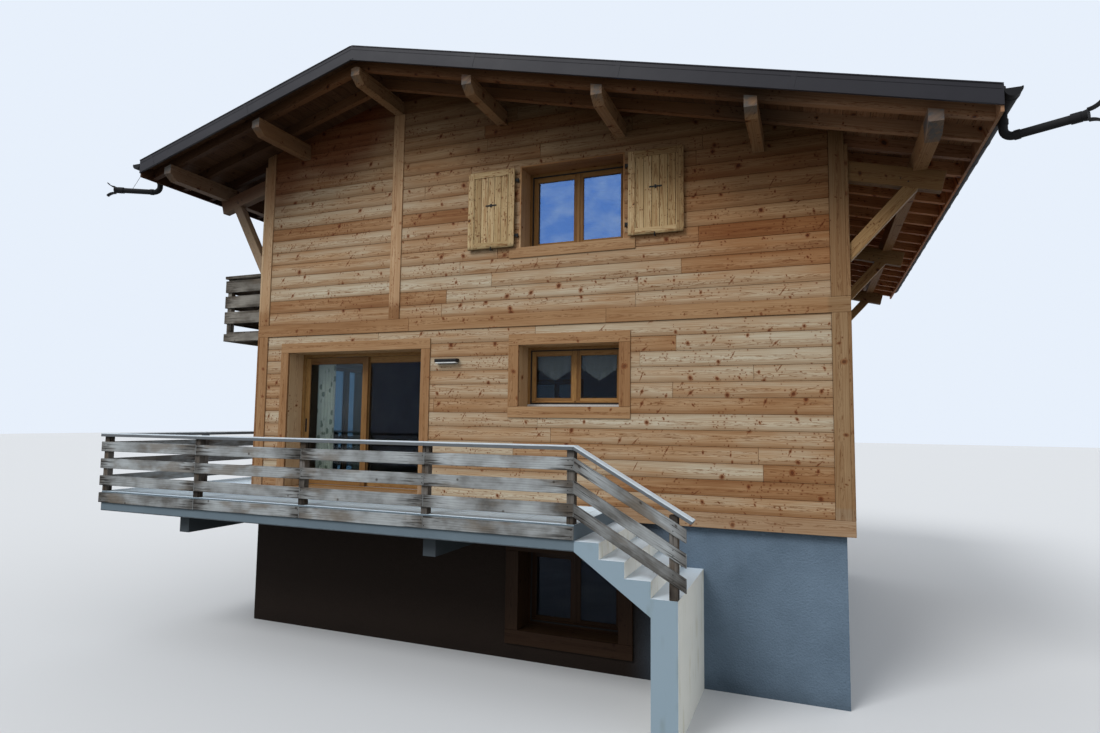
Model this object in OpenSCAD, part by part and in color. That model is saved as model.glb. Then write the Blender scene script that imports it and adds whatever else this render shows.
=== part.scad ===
// Alpine chalet in millimetres. Z = 0 is the lowest ground, X = 0 the middle of the front,
// Y = 0 the middle of the depth, and the front with the terrace faces -Y.
// The ridge lies left of the middle, so the purlins, the eaves and the wall heads all follow
// one rule for the roof's height, roof_z(x).

/* [House] */
// Width of the house over its boarding
house_w = 9000; // [8800:50:9600]
// Depth of the house over its boarding
house_d = 8000; // [7800:50:9000]
// Thickness of the boarding on the timber walls
boarding_t = 24; // [18:1:30]
// Thickness of the timber walls behind the boarding
wall_t = 420; // [400:10:460]
// How far the trim boards stand in front of the boarding
trim_proud = 18; // [10:1:24]
// How far the rendered basement is set back under the boarding
plinth_inset = 80; // [60:5:110]
// Thickness of the basement walls
basement_t = 430; // [410:10:480]
// Width of the corner boards
corner_w = 215; // [180:5:240]
// Gap between the corner boards and the rafters over them
corner_gap = 4; // [2:1:10]

/* [Storeys] */
// Thickness of the basement floor
base_slab_t = 150; // [120:10:200]
// Height of the boarding's lower edge
skirt_z = 1960; // [1930:5:1975]
// Height of the skirt board
skirt_h = 185; // [150:5:210]
// Height of the finished ground floor
ground_floor_z = 2150; // [2140:5:2180]
// Lower edge of the band board between the storeys
band_z = 4570; // [4540:10:4620]
// Height of the band board
band_h = 190; // [150:10:220]
// Height of the finished upper floor
upper_floor_z = 4780; // [4770:10:4840]
// Thickness of the upper floor
upper_floor_t = 260; // [220:10:300]

/* [Roof] */
// Height of the ridge over the heads of the upper windows
ridge_over_win = 1593; // [1543:10:1800]
// Place of the ridge left of the middle
ridge_off = 1850; // [1600:10:2000]
// Pitch of the left slope in degrees
left_pitch = 15; // [14:0.1:16]
// Pitch of the right slope in degrees
right_pitch = 14.1; // [13.5:0.1:15]
// Overhang of the roof past the front and back walls
verge_over = 1220; // [1100:10:1350]
// Overhang of the roof past the left wall
left_over = 1476; // [1400:10:1550]
// Overhang of the roof past the right wall
right_over = 1358; // [1300:10:1450]
// Height kept for the standing seams above the sheet
seam_h = 25; // [20:1:35]
// Thickness of the roof sheet and its battens
sheet_t = 25; // [20:1:35]
// Thickness of the roof boarding
soffit_t = 60; // [40:5:80]
// Height of the rafters
rafter_h = 150; // [120:5:170]
// Width of the rafters
rafter_w = 80; // [60:5:100]
// Number of rafters on each slope
rafter_n = 19; // [15:1:21]
// Distance of the first rafter behind the front of the roof
rafter_inset = 210; // [150:10:260]
// Play between timbers that lie on each other
seat_gap = 0.05; // [0.02:0.01:0.2]
// Height of the purlins
purlin_h = 220; // [180:10:240]
// Width of the purlins
purlin_w = 140; // [120:5:160]
// Distance of the purlin ends behind the front of the roof
purlin_inset = 100; // [60:10:180]
// Distance of the left eave purlin outside the left wall
left_purlin_out = 950; // [900:10:980]
// Distance of the right eave purlin outside the right wall
right_purlin_out = 780; // [720:10:860]
// Thickness of the skin that closes a gable in front of its rafter
gable_skin_t = 60; // [40:2:66]
// Length of the cut under a purlin's end
purlin_cut_l = 130; // [100:5:160]
// Height of the cut under a purlin's end
purlin_cut_h = 95; // [70:5:120]
// Width of the trim board under the ridge
ridge_trim_w = 190; // [150:5:220]
// Height of the dark metal board along the verge
verge_board_h = 215; // [180:5:240]
// Thickness of the verge board
verge_board_t = 20; // [12:1:30]

/* [Eaves] */
// Distance from the edge of the sheet to the face of the eave board
eave_lip = 20; // [15:1:30]
// Thickness of the eave board
eave_board_t = 30; // [20:1:40]
// Height of the eave board
eave_board_h = 165; // [160:5:190]
// Length of the bracket arms outside the wall
arm_reach = 1050; // [1000:10:1100]
// Height of the bracket arms
arm_h = 240; // [200:10:260]
// Width of the brackets
arm_w = 140; // [120:5:160]
// Depth by which the eave purlins are let into the arms
let_in = 25; // [22:1:40]
// Thickness of the struts
strut_t = 150; // [120:5:170]
// Distance from the wall at which the struts meet the arms
strut_reach = 700; // [600:10:760]
// Height that the left struts run down below the arm
left_strut_fall = 1230; // [1100:10:1300]
// Height that the right struts run down below the arm
right_strut_fall = 760; // [700:10:900]
// Number of brackets on each side wall
bracket_n = 3; // [2:1:4]
// Outer radius of the gutters
gutter_r = 80; // [70:1:90]
// Thickness of the gutter sheet
gutter_t = 4; // [3:0.5:6]
// Drop of a gutter's rim below the roof sheet
gutter_drop = 4; // [2:1:10]
// Distance of the spouts behind the front end of the gutters
spout_back = 440; // [380:5:500]
// Gap between a spout's head and its gutter
spout_seat = 0.3; // [0.2:0.1:0.5]
// Length by which a spout drops before its bend
spout_drop = 150; // [120:5:180]
// Radius of a spout's bend
spout_bend = 95; // [80:5:120]
// Outer radius of the spout pipes
spout_r = 42; // [35:1:48]
// Length of the straight stretch of a spout
spout_l = 520; // [450:10:700]
// Angle by which the spouts turn forward
spout_turn = 30; // [15:1:40]
// Length of the mouth at a spout's end
mouth_l = 190; // [150:5:220]
// Radius of the flared end inside the mouth
mouth_r = 57; // [50:1:64]
// Length of the flared end inside the mouth
flare_l = 76; // [60:1:90]
// Radius to which the lips of the mouth curl
lip_r = 150; // [130:5:180]
// Thickness of a lip in its middle
lip_t = 14; // [10:1:20]
// Width of the lips
lip_w = 76; // [60:2:84]

/* [Terrace door] */
// Left edge of the doorway from the house's left corner
door_x = 647; // [600:1:700]
// Clear width of the doorway between its linings
door_w = 2507; // [2400:5:2600]
// Top of the doorway
door_top_z = 4296; // [4250:1:4330]
// Depth of the reveals in front of the window and door frames
reveal = 332; // [300:2:340]
// Thickness of the boards that line the reveals
lining_t = 20; // [15:1:30]
// Width of the boards round the openings
surround_w = 155; // [130:5:165]
// Depth of the sliding door's frame
door_frame_d = 100; // [96:1:108]
// Width of the door frame's posts and head
door_frame_w = 50; // [40:1:60]
// Height of the threshold
threshold_h = 24; // [20:1:30]
// Thickness of a door leaf
leaf_t = 38; // [34:1:40]
// Gap between the two leaves
leaf_gap = 8; // [6:0.5:10]
// Width of a leaf's stiles and rails
leaf_stile = 92; // [80:1:110]
// Overlap of the two leaves at their meeting stiles
leaf_overlap = 92; // [80:1:110]
// Height of the rail that the sliding leaf runs on
track_h = 7; // [6:0.5:9]
// Width of the rail that the sliding leaf runs on
track_w = 16; // [12:1:20]
// Running gap between the sliding leaf and its rail
track_gap = 0.3; // [0.2:0.05:0.4]
// Running gap at the sliding leaf's sides and top
leaf_play = 7; // [6:0.5:9]
// Thickness of the glass units
pane_t = 24; // [20:1:28]

/* [Windows] */
// Left edge of the lower front window from the house's left corner
low_win_x = 4746; // [4700:1:4800]
// Clear width of the lower windows
low_win_w = 1455; // [1400:5:1500]
// Clear height of the lower windows
low_win_h = 858; // [800:2:900]
// Sill height of the lower windows
low_win_z = 3444; // [3400:2:3480]
// Left edge of the upper front window from the house's left corner
up_win_x = 4743; // [4700:1:4800]
// Clear width of the upper windows
up_win_w = 1505; // [1450:5:1550]
// Clear height of the upper windows
up_win_h = 1169; // [1100:2:1200]
// Sill height of the upper windows
up_win_z = 5700; // [5660:2:5740]
// Height of the sill board under an upper window
sill_h = 150; // [120:5:170]
// How far a sill board runs past its window at each side
sill_past = 170; // [120:5:190]
// Drop from the roof's surface over the right wall to the heads of its upper windows
right_win_drop = 559; // [540:1:600]
// Left edge of the basement window from the house's left corner
base_win_x = 4770; // [4700:5:4850]
// Clear width of the basement window
base_win_w = 1420; // [1380:5:1460]
// Sill height of the basement window
base_win_z = 400; // [380:5:440]
// Clear height of the basement window
base_win_h = 1060; // [1000:5:1070]
// Width of the boards round the basement window
base_surround_w = 190; // [150:5:200]
// Clear width of the doors to the balcony and the side terrace
side_door_w = 1455; // [1400:5:1500]
// Clear height of the doors to the balcony and the side terrace
side_door_h = 2100; // [2050:5:2130]
// Width of a window frame's outer part
frame_w = 55; // [50:1:65]
// Width of a sash
sash_w = 62; // [55:1:70]
// Depth of the window frames
frame_d = 80; // [70:1:100]
// Distance of a sash behind the front of its frame
sash_back = 12; // [8:1:16]
// Distance of the windows in the back and right walls from the middle of the wall
side_win_off = 2100; // [2000:10:2200]

/* [Shutters] */
// Thickness of a shutter
shutter_t = 30; // [26:1:34]
// Gap at the top and bottom of a closed shutter
shutter_play = 12; // [8:1:20]
// Gap between a closed shutter and the lining
shutter_side_gap = 6; // [5:0.5:8]
// Gap between the two closed shutters
shutter_meet_gap = 12; // [10:1:16]
// Distance of the hinge pins outside the opening
pin_out = 38; // [34:1:44]
// Distance of the hinge pins in front of the boarding
pin_off = 24; // [22:1:28]
// Distance of an open shutter's middle behind its swing, measured from the pins
shutter_off = 22; // [21:1:26]
// Radius of the hinge pins
pin_r = 6; // [5:0.5:7]
// Radial clearance of the hinge pins
pin_clear = 0.05; // [0.02:0.01:0.08]
// Wall of the hinge eyes
eye_wall = 4; // [3:0.5:5]
// Height of a hinge eye and its strap
strap_h = 40; // [34:1:50]
// Thickness of a hinge strap
strap_t = 5; // [4:0.5:6]
// Length of a hinge strap on the shutter
strap_l = 420; // [300:10:600]
// Distance of the hinges from the shutter's ends
strap_end = 170; // [140:5:200]
// Height of the hook that carries a pin
pin_seat = 14; // [10:1:18]
// Running gap between a hinge eye and its hook
eye_gap = 0.3; // [0.2:0.05:0.5]
// Length of a pin above its hinge eye
pin_over = 4; // [2:0.5:8]

/* [Terrace] */
// Distance from the boarding to the front of the terrace rail
terrace_d = 1621; // [1500:10:1700]
// Distance from the house's left corner to the outside of the left rail
terrace_left = 1345; // [1300:5:1400]
// Distance from the house's left corner to the head of the stair
stair_x = 6151; // [6000:10:6250]
// Length of the terrace along the left wall
wing_l = 3600; // [3400:50:3800]
// Height of the terrace floor
terrace_z = 2130; // [2120:1:2138]
// Thickness of the terrace slab
terrace_t = 285; // [250:5:300]
// Height of the beams that carry the slab
beam_h = 245; // [200:5:280]
// Width of these beams
beam_w = 175; // [150:5:200]
// Distance of the beam ends behind the edge of the slab
beam_back = 200; // [150:10:260]
// Spacing of the beams under the front of the terrace
beam_pitch = 4060; // [3800:10:4200]

/* [Rail] */
// Thickness of the rail boards
rail_t = 30; // [24:1:36]
// Height of the rail boards
rail_h = 143; // [120:1:160]
// Gap between the top rail board and the coping
rail_top_gap = 78; // [60:1:100]
// Height of the lowest board's lower edge above the slab's underside
rail_low = 122; // [100:1:150]
// Number of rail boards
rail_n = 4; // [3:1:4]
// Width of the square posts
post_w = 90; // [80:1:100]
// Height of the coping over the terrace floor
coping_top = 855; // [830:5:900]
// Thickness of the coping
coping_t = 50; // [40:1:60]
// Width of the coping
coping_w = 150; // [140:5:170]
// How far a coping stands out past its boards
coping_lip = 10; // [5:1:20]
// Number of bays between the posts along the front
front_bays = 4; // [3:1:5]
// Number of bays between the posts along the side
wing_bays = 3; // [2:1:4]

/* [Stair] */
// Number of risers
riser_n = 5; // [4:1:6]
// Height from the paving at the stair's foot to the terrace floor
stair_rise = 863; // [850:5:880]
// Depth of a tread
tread_d = 281; // [270:1:290]
// Thickness of the flight below the steps, measured plumb
waist = 190; // [150:5:220]
// Slope of the stair rail in degrees
stair_rail_pitch = 29.5; // [28:0.5:31]
// How far the sloping boards run past the end post
board_past = 90; // [60:5:120]
// How far the sloping coping runs past the end post
coping_past = 185; // [120:5:200]
// Gap between the stair's underlap and the skirt board
stair_gap = 3; // [1:0.5:6]

/* [Balcony] */
// Distance from the front boarding to the front of the balcony
balcony_y = 500; // [400:10:600]
// Length of the balcony
balcony_l = 3100; // [2900:10:3150]
// Distance from the left boarding to the outside of the balcony
balcony_out = 1360; // [1300:10:1400]
// Thickness of the balcony floor
balcony_t = 35; // [30:1:45]
// Height of the balcony joists
joist_h = 135; // [110:5:150]
// Width of the balcony joists
joist_w = 100; // [80:5:120]
// Number of balcony joists
joist_n = 4; // [3:1:5]
// Height of the balcony coping over its floor
balcony_rail_h = 1020; // [980:10:1060]
// Number of balcony boards
balcony_board_n = 3; // [2:1:3]
// Height of the balcony boards
balcony_board_h = 215; // [180:5:230]
// Spacing of the balcony boards
balcony_board_pitch = 285; // [260:5:290]
// Distance from the coping's top to the top of the first balcony board
balcony_board_drop = 85; // [75:5:95]

/* [Lamp] */
// Left edge of the wall lamp from the house's left corner
lamp_x = 3425; // [3400:5:3480]
// Width of the lamp
lamp_w = 370; // [300:10:400]
// Height of the lamp
lamp_h = 72; // [50:2:90]
// How far the lamp stands out
lamp_d = 95; // [70:5:120]
// Height of the lamp's underside
lamp_z = 4062; // [4020:2:4100]

/* [Hidden] */
$fn = 48;
eps = 1;
slit = 1;

left_x = -house_w / 2;
right_x = house_w / 2;
front_y = -house_d / 2;
back_y = house_d / 2;
wall_in = boarding_t + wall_t;
core_l = left_x + boarding_t;
core_r = right_x - boarding_t;
core_f = front_y + boarding_t;
core_b = back_y - boarding_t;
plinth_in = plinth_inset + basement_t;
storey_z = band_z;

ridge_x = -ridge_off;
ridge_z = up_win_z + up_win_h + ridge_over_win;
eave_l = left_x - left_over;
eave_r = right_x + right_over;
verge_f = front_y - verge_over;
verge_b = back_y + verge_over;
sheet_drop = seam_h;
soffit_drop = sheet_drop + sheet_t;
rafter_drop = soffit_drop + soffit_t;
purlin_drop = rafter_drop + rafter_h;
arm_drop = purlin_drop + purlin_h;
face_l = eave_l + eave_lip;
face_r = eave_r - eave_lip;

// Height of the roof's surface at x
function roof_z(x) = x < ridge_x
    ? ridge_z - (ridge_x - x) * tan(left_pitch)
    : ridge_z - (x - ridge_x) * tan(right_pitch);

purlin_l = left_x - left_purlin_out;
purlin_r = right_x + right_purlin_out;
left_step = (ridge_x - purlin_l) / 2;
right_step = (purlin_r - ridge_x) / 4;
purlin_xs = [
    purlin_l, purlin_l + left_step, ridge_x,
    for (i = [1:4]) ridge_x + i * right_step
];
rafter_y0 = verge_f + rafter_inset;
rafter_step = (verge_b - verge_f - 2 * rafter_inset - rafter_w) / (rafter_n - 1);

door_x0 = left_x + door_x;
door_x1 = door_x0 + door_w;
low_x0 = left_x + low_win_x;
up_x0 = left_x + up_win_x;
base_x0 = left_x + base_win_x;
leaf_y0 = front_y + reveal + leaf_gap;
fixed_y0 = leaf_y0 + leaf_t + leaf_gap;
door_in_x0 = door_x0 + door_frame_w;
door_in_x1 = door_x1 - door_frame_w;
door_in_top = door_top_z - door_frame_w;
leaf_w = (door_in_x1 - door_in_x0 - leaf_play + leaf_overlap) / 2;
leaf_z0 = ground_floor_z + threshold_h + track_h + track_gap;
leaf_z1 = door_in_top - leaf_play;
fixed_x0 = door_in_x1 - leaf_w;
sliding_x0 = door_in_x0 + leaf_play;

// Each window is [left edge seen from outside, sill height, width, height]
lower_front = [low_x0, low_win_z, low_win_w, low_win_h];
upper_front = [up_x0, up_win_z, up_win_w, up_win_h];
basement_front = [base_x0, base_win_z, base_win_w, base_win_h];
wing_mid = -front_y - wing_l / 2;
balcony_mid = -front_y - balcony_y - balcony_l / 2;
right_up_win_z = roof_z(right_x) - right_win_drop - low_win_h;
left_doors = [
    [wing_mid - side_door_w / 2, ground_floor_z, side_door_w, side_door_h],
    [balcony_mid - side_door_w / 2, upper_floor_z, side_door_w, side_door_h]
];
right_windows = [
    [-side_win_off - low_win_w / 2, low_win_z, low_win_w, low_win_h],
    [side_win_off - low_win_w / 2, low_win_z, low_win_w, low_win_h],
    [-side_win_off - low_win_w / 2, right_up_win_z, low_win_w, low_win_h],
    [side_win_off - low_win_w / 2, right_up_win_z, low_win_w, low_win_h]
];
back_lower = [
    for (s = [-1, 1]) [s * side_win_off - low_win_w / 2, low_win_z, low_win_w, low_win_h]
];
back_upper = [
    for (s = [-1, 1]) [s * side_win_off - up_win_w / 2, up_win_z, up_win_w, up_win_h]
];

shutter_w = (up_win_w - 2 * shutter_side_gap - shutter_meet_gap) / 2;
shutter_edge = pin_out + shutter_side_gap;
shutter_z0 = up_win_z + shutter_play;
shutter_z1 = up_win_z + up_win_h - shutter_play;
pin_y = front_y - pin_off;
left_pin_x = up_x0 - pin_out;
right_pin_x = up_x0 + up_win_w + pin_out;
hinge_zs = [shutter_z0 + strap_end, shutter_z1 - strap_end];

slab_f = front_y - terrace_d + rail_t;
slab_l = left_x - terrace_left + rail_t;
slab_r = left_x + stair_x;
slab_b = front_y + wing_l;
slab_z0 = terrace_z - terrace_t;
house_face = front_y - trim_proud;
house_side = left_x - trim_proud;
coping_z = terrace_z + coping_top;
rail_z0 = slab_z0 + rail_low;
rail_pitch = (coping_z - coping_t - rail_top_gap - rail_h - rail_z0) / (rail_n - 1);
riser = stair_rise / riser_n;
stair_foot_z = terrace_z - stair_rise;
stair_end = slab_r + (riser_n - 1) * tread_d;
end_post_x = stair_end - post_w;
balcony_l_x = left_x - balcony_out;
balcony_f = front_y + balcony_y;
balcony_b = balcony_f + balcony_l;
gutter_l_x = face_l - gutter_r;
gutter_r_x = face_r + gutter_r;
gutter_l_z = roof_z(eave_l) - soffit_drop - gutter_drop;
gutter_r_z = roof_z(eave_r) - soffit_drop - gutter_drop;
front_step = (slab_r - post_w - slab_l) / front_bays;
wing_step = (slab_b - post_w - slab_f) / wing_bays;
joist_step = (balcony_l - joist_w) / (joist_n - 1);
balcony_post_h = balcony_rail_h - coping_t;

// A box between two corners
module box(x0, x1, y0, y1, z0, z1) {
    translate([x0, y0, z0]) cube([x1 - x0, y1 - y0, z1 - z0]);
}

// Carries a drawing in X and Z along Y
module along_y(y0, y1) {
    translate([0, y1, 0]) rotate([90, 0, 0]) linear_extrude(y1 - y0) children();
}

// Carries a drawing in Y and Z along X
module along_x(x0, x1) {
    translate([x0, 0, 0]) rotate([90, 0, 90]) linear_extrude(x1 - x0) children();
}

// Each places what is drawn on the front wall's face on another wall
module on_front() { translate([0, front_y, 0]) children(); }
module on_back() { translate([0, back_y, 0]) rotate([0, 0, 180]) children(); }
module on_left() { translate([left_x, 0, 0]) rotate([0, 0, -90]) children(); }
module on_right() { translate([right_x, 0, 0]) rotate([0, 0, 90]) children(); }

// The hole for a window, with room for its lining
module hole(w, lined = lining_t, depth = wall_in) {
    box(w[0] - lined, w[0] + w[2] + lined, -eps, depth + eps, w[1] - lined, w[1] + w[3] + lined);
}

// A layer of the roof between two drops below its surface
module roof_layer(x0, x1, y0, y1, drop0, drop1) {
    along_y(y0, y1) polygon([
        [x0, roof_z(x0) - drop0], if (x0 < ridge_x && x1 > ridge_x) [ridge_x, ridge_z - drop0],
        [x1, roof_z(x1) - drop0], [x1, roof_z(x1) - drop1],
        if (x0 < ridge_x && x1 > ridge_x) [ridge_x, ridge_z - drop1], [x0, roof_z(x0) - drop1]
    ]);
}

module base_slab() {
    color("darkgray")
        box(left_x + plinth_in, right_x - plinth_in, front_y + plinth_in, back_y - plinth_in,
            0, base_slab_t);
}

module basement_front_wall() {
    color("slategray") difference() {
        box(left_x + plinth_inset, right_x - plinth_inset, front_y + plinth_inset,
            front_y + plinth_in, 0, skirt_z);
        on_front() hole(basement_front, lining_t, plinth_in);
    }
}

module basement_left_wall() {
    color("slategray")
        box(left_x + plinth_inset, left_x + plinth_in, front_y + plinth_in, back_y - plinth_in,
            0, skirt_z);
}

module basement_right_wall() {
    color("slategray")
        box(right_x - plinth_in, right_x - plinth_inset, front_y + plinth_in, back_y - plinth_in,
            0, skirt_z);
}

module basement_back_wall() {
    color("slategray")
        box(left_x + plinth_inset, right_x - plinth_inset, back_y - plinth_in,
            back_y - plinth_inset, 0, skirt_z);
}

// The slab lies on the basement walls and runs out through the doorway to the terrace
module ground_floor() {
    color("gainsboro") {
        box(left_x + wall_in, right_x - wall_in, front_y + wall_in, back_y - wall_in,
            skirt_z, ground_floor_z);
        box(door_x0 - lining_t, door_x1 + lining_t, core_f, front_y + wall_in + eps,
            skirt_z, ground_floor_z);
    }
}

module upper_floor() {
    color("burlywood")
        box(left_x + wall_in, right_x - wall_in, front_y + wall_in, back_y - wall_in,
            upper_floor_z - upper_floor_t, upper_floor_z);
}

module front_wall_left() {
    color("peru")
        box(core_l, door_x0 - lining_t, core_f, front_y + wall_in, skirt_z, storey_z);
}

module front_wall_over_door() {
    color("peru")
        box(door_x0 - lining_t, door_x1 + lining_t, core_f, front_y + wall_in,
            door_top_z + lining_t, storey_z);
}

module front_wall_right() {
    color("peru") difference() {
        box(door_x1 + lining_t, core_r, core_f, front_y + wall_in, skirt_z, storey_z);
        on_front() hole(lower_front);
    }
}

// The front gable: the rafters lie on it and the purlins are let in, and an outer skin in
// front of the rafter that lies on the wall closes it up to the roof boarding
module gable() {
    difference() {
        union() {
            along_y(core_f, front_y + wall_in) polygon([
                [core_l, storey_z], [core_r, storey_z], [core_r, roof_z(core_r) - purlin_drop],
                [ridge_x, ridge_z - purlin_drop], [core_l, roof_z(core_l) - purlin_drop]
            ]);
            difference() {
                roof_layer(core_l, core_r, core_f, core_f + gable_skin_t, rafter_drop,
                    purlin_drop + eps);
                rafter_set(room = true);
            }
        }
        purlin_set();
    }
}

module front_gable() {
    color("peru") difference() {
        gable();
        on_front() hole(upper_front);
    }
}

module back_gable() {
    color("peru") difference() {
        mirror([0, 1, 0]) gable();
        on_back() for (w = back_upper) hole(w);
    }
}

module back_wall() {
    color("peru") difference() {
        box(core_l, core_r, back_y - wall_in, core_b, skirt_z, storey_z);
        on_back() for (w = back_lower) hole(w);
    }
}

// A side wall up to the roof boarding, cut out round the rafters
module side_wall(x0, x1) {
    difference() {
        along_y(front_y + wall_in, back_y - wall_in) polygon([
            [x0, skirt_z], [x1, skirt_z], [x1, roof_z(x1) - rafter_drop],
            [x0, roof_z(x0) - rafter_drop]
        ]);
        rafter_set(room = true);
    }
}

module left_wall() {
    color("peru") difference() {
        side_wall(core_l, left_x + wall_in);
        on_left() for (w = left_doors) hole(w);
    }
}

module right_wall() {
    color("peru") difference() {
        side_wall(right_x - wall_in, core_r);
        on_right() for (w = right_windows) hole(w);
    }
}

// Upright boards that cover the ends of the boarding at the four corners
module corner_boards() {
    head_l = roof_z(left_x - trim_proud) - purlin_drop - corner_gap;
    head_r = roof_z(right_x + trim_proud) - purlin_drop - corner_gap;
    color("sandybrown") for (sx = [-1, 1], sy = [-1, 1]) {
        head = sx < 0 ? head_l : head_r;
        x_out = sx * (house_w / 2 + trim_proud);
        y_out = sy * (house_d / 2 + trim_proud);
        x_core = sx * (house_w / 2 - boarding_t);
        y_core = sy * (house_d / 2 - boarding_t);
        difference() {
            box(min(x_out, x_out - sx * corner_w), max(x_out, x_out - sx * corner_w),
                min(y_out, y_out - sy * corner_w), max(y_out, y_out - sy * corner_w),
                skirt_z, head);
            box(min(x_core, -sx * house_w), max(x_core, -sx * house_w),
                min(y_core, -sy * house_d), max(y_core, -sy * house_d),
                skirt_z - eps, head + eps);
            storey_ring(band_z, band_h);
            storey_ring(skirt_z, skirt_h);
            bracket_set();
        }
    }
}

// A board of a given height all round the house
module storey_ring(z0, h) {
    difference() {
        box(left_x - trim_proud, right_x + trim_proud, front_y - trim_proud,
            back_y + trim_proud, z0, z0 + h);
        box(core_l, core_r, core_f, core_b, z0 - eps, z0 + h + eps);
    }
}

module terrace_notch() {
    box(slab_l, slab_r, slab_f, house_face, slab_z0, terrace_z);
    box(slab_l, house_side, slab_f, slab_b, slab_z0, terrace_z);
}

module band_board() {
    color("sandybrown") difference() {
        storey_ring(band_z, band_h);
        on_left() translate([0, -trim_proud, 0]) hole(left_doors[1]);
    }
}

module skirt_board() {
    color("sandybrown") difference() {
        storey_ring(skirt_z, skirt_h);
        box(door_x0 - lining_t, door_x1 + lining_t, front_y - trim_proud - eps, core_f + eps,
            ground_floor_z - lining_t, skirt_z + skirt_h + eps);
        on_left() translate([0, -trim_proud, 0]) hole(left_doors[0]);
    }
}

module ridge_trim() {
    color("sandybrown")
        box(ridge_x - ridge_trim_w / 2, ridge_x + ridge_trim_w / 2, house_face, core_f,
            band_z + band_h, ridge_z - arm_drop);
}

// The lining of a reveal with flat boards round it, drawn on a wall's face
module surround(w, width, bottom = true) {
    z_low = bottom ? w[1] - width : w[1];
    z_in = bottom ? w[1] : w[1] - 2 * eps;
    z_lining = bottom ? w[1] - lining_t : w[1];
    difference() {
        union() {
            box(w[0] - width, w[0] + w[2] + width, -trim_proud, boarding_t, z_low,
                w[1] + w[3] + width);
            box(w[0] - lining_t, w[0] + w[2] + lining_t, 0, reveal, z_lining,
                w[1] + w[3] + lining_t);
        }
        box(w[0], w[0] + w[2], -trim_proud - eps, reveal + eps, z_in, w[1] + w[3]);
    }
}

module door_surround() {
    color("sandybrown") on_front()
        surround([door_x0, ground_floor_z, door_w, door_top_z - ground_floor_z], surround_w,
            false);
}

// The shuttered window has a lining, a head board and a sill board, and bare sides
module shuttered_surround(w) {
    difference() {
        union() {
            box(w[0] - lining_t, w[0] + w[2] + lining_t, 0, reveal, w[1] - lining_t,
                w[1] + w[3] + lining_t);
            box(w[0] - sill_past, w[0] + w[2] + sill_past, -trim_proud, boarding_t,
                w[1] - sill_h, w[1]);
        }
        box(w[0], w[0] + w[2], -trim_proud - eps, reveal + eps, w[1], w[1] + w[3]);
    }
}

module window_surrounds() {
    color("sandybrown") {
        on_front() {
            surround(lower_front, surround_w);
            shuttered_surround(upper_front);
        }
        on_right() for (w = right_windows) surround(w, surround_w);
        on_back() for (w = back_lower) surround(w, surround_w);
        on_back() for (w = back_upper) shuttered_surround(w);
        on_left() for (w = left_doors) surround(w, surround_w, false);
        translate([0, plinth_inset - boarding_t, 0]) on_front()
            surround(basement_front, base_surround_w);
    }
}

// A rectangular ring in X and Z
module ring(x0, x1, z0, z1, w, y0, y1) {
    difference() {
        box(x0, x1, y0, y1, z0, z1);
        box(x0 + w, x1 - w, y0 - eps, y1 + eps, z0 + w, z1 - w);
    }
}

// A two-light window: the frame, and two sashes that meet in the middle
module casement(w) {
    mid = w[0] + w[2] / 2;
    y0 = reveal;
    ring(w[0] - lining_t, w[0] + w[2] + lining_t, w[1] - lining_t, w[1] + w[3] + lining_t,
        frame_w + lining_t, y0, y0 + frame_d);
    ring(w[0] + frame_w - eps, mid, w[1] + frame_w - eps, w[1] + w[3] - frame_w + eps,
        sash_w, y0 + sash_back, y0 + frame_d - sash_back);
    ring(mid, w[0] + w[2] - frame_w + eps, w[1] + frame_w - eps, w[1] + w[3] - frame_w + eps,
        sash_w, y0 + sash_back, y0 + frame_d - sash_back);
}

// The two glass units of such a window
module casement_panes(w) {
    mid = w[0] + w[2] / 2;
    y0 = reveal + (frame_d - pane_t) / 2;
    edge = frame_w + sash_w - eps;
    box(w[0] + edge, mid - sash_w, y0, y0 + pane_t, w[1] + edge, w[1] + w[3] - edge);
    box(mid + sash_w, w[0] + w[2] - edge, y0, y0 + pane_t, w[1] + edge, w[1] + w[3] - edge);
}

module door_frame() {
    color("chocolate") difference() {
        box(door_x0 - lining_t, door_x1 + lining_t, front_y + reveal,
            front_y + reveal + door_frame_d, ground_floor_z, door_top_z + lining_t);
        box(door_in_x0, door_in_x1, front_y + reveal - eps,
            front_y + reveal + door_frame_d + eps, ground_floor_z + threshold_h, door_in_top);
    }
    color("chocolate")
        box(door_in_x0, door_in_x1, leaf_y0 + (leaf_t - track_w) / 2,
            leaf_y0 + (leaf_t + track_w) / 2, ground_floor_z + threshold_h - eps,
            ground_floor_z + threshold_h + track_h);
}

module sliding_leaf() {
    color("darkorange")
        ring(sliding_x0, sliding_x0 + leaf_w, leaf_z0, leaf_z1, leaf_stile,
            leaf_y0, leaf_y0 + leaf_t);
}

module sliding_pane() {
    color("lightskyblue", 0.4)
        box(sliding_x0 + leaf_stile, sliding_x0 + leaf_w - leaf_stile,
            leaf_y0 + (leaf_t - pane_t) / 2, leaf_y0 + (leaf_t + pane_t) / 2,
            leaf_z0 + leaf_stile, leaf_z1 - leaf_stile);
}

module fixed_leaf() {
    color("darkorange")
        ring(fixed_x0, door_in_x1, ground_floor_z + threshold_h, door_in_top, leaf_stile,
            fixed_y0, fixed_y0 + leaf_t);
}

module lower_window() { color("chocolate") on_front() casement(lower_front); }

module upper_window() { color("chocolate") on_front() casement(upper_front); }

module basement_window() {
    color("saddlebrown") translate([0, plinth_inset - boarding_t, 0]) on_front()
        casement(basement_front);
}

module side_windows() {
    color("chocolate") {
        on_right() for (w = right_windows) casement(w);
        on_back() for (w = back_lower) casement(w);
        on_back() for (w = back_upper) casement(w);
        on_left() for (w = left_doors) casement(w);
    }
}

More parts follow.
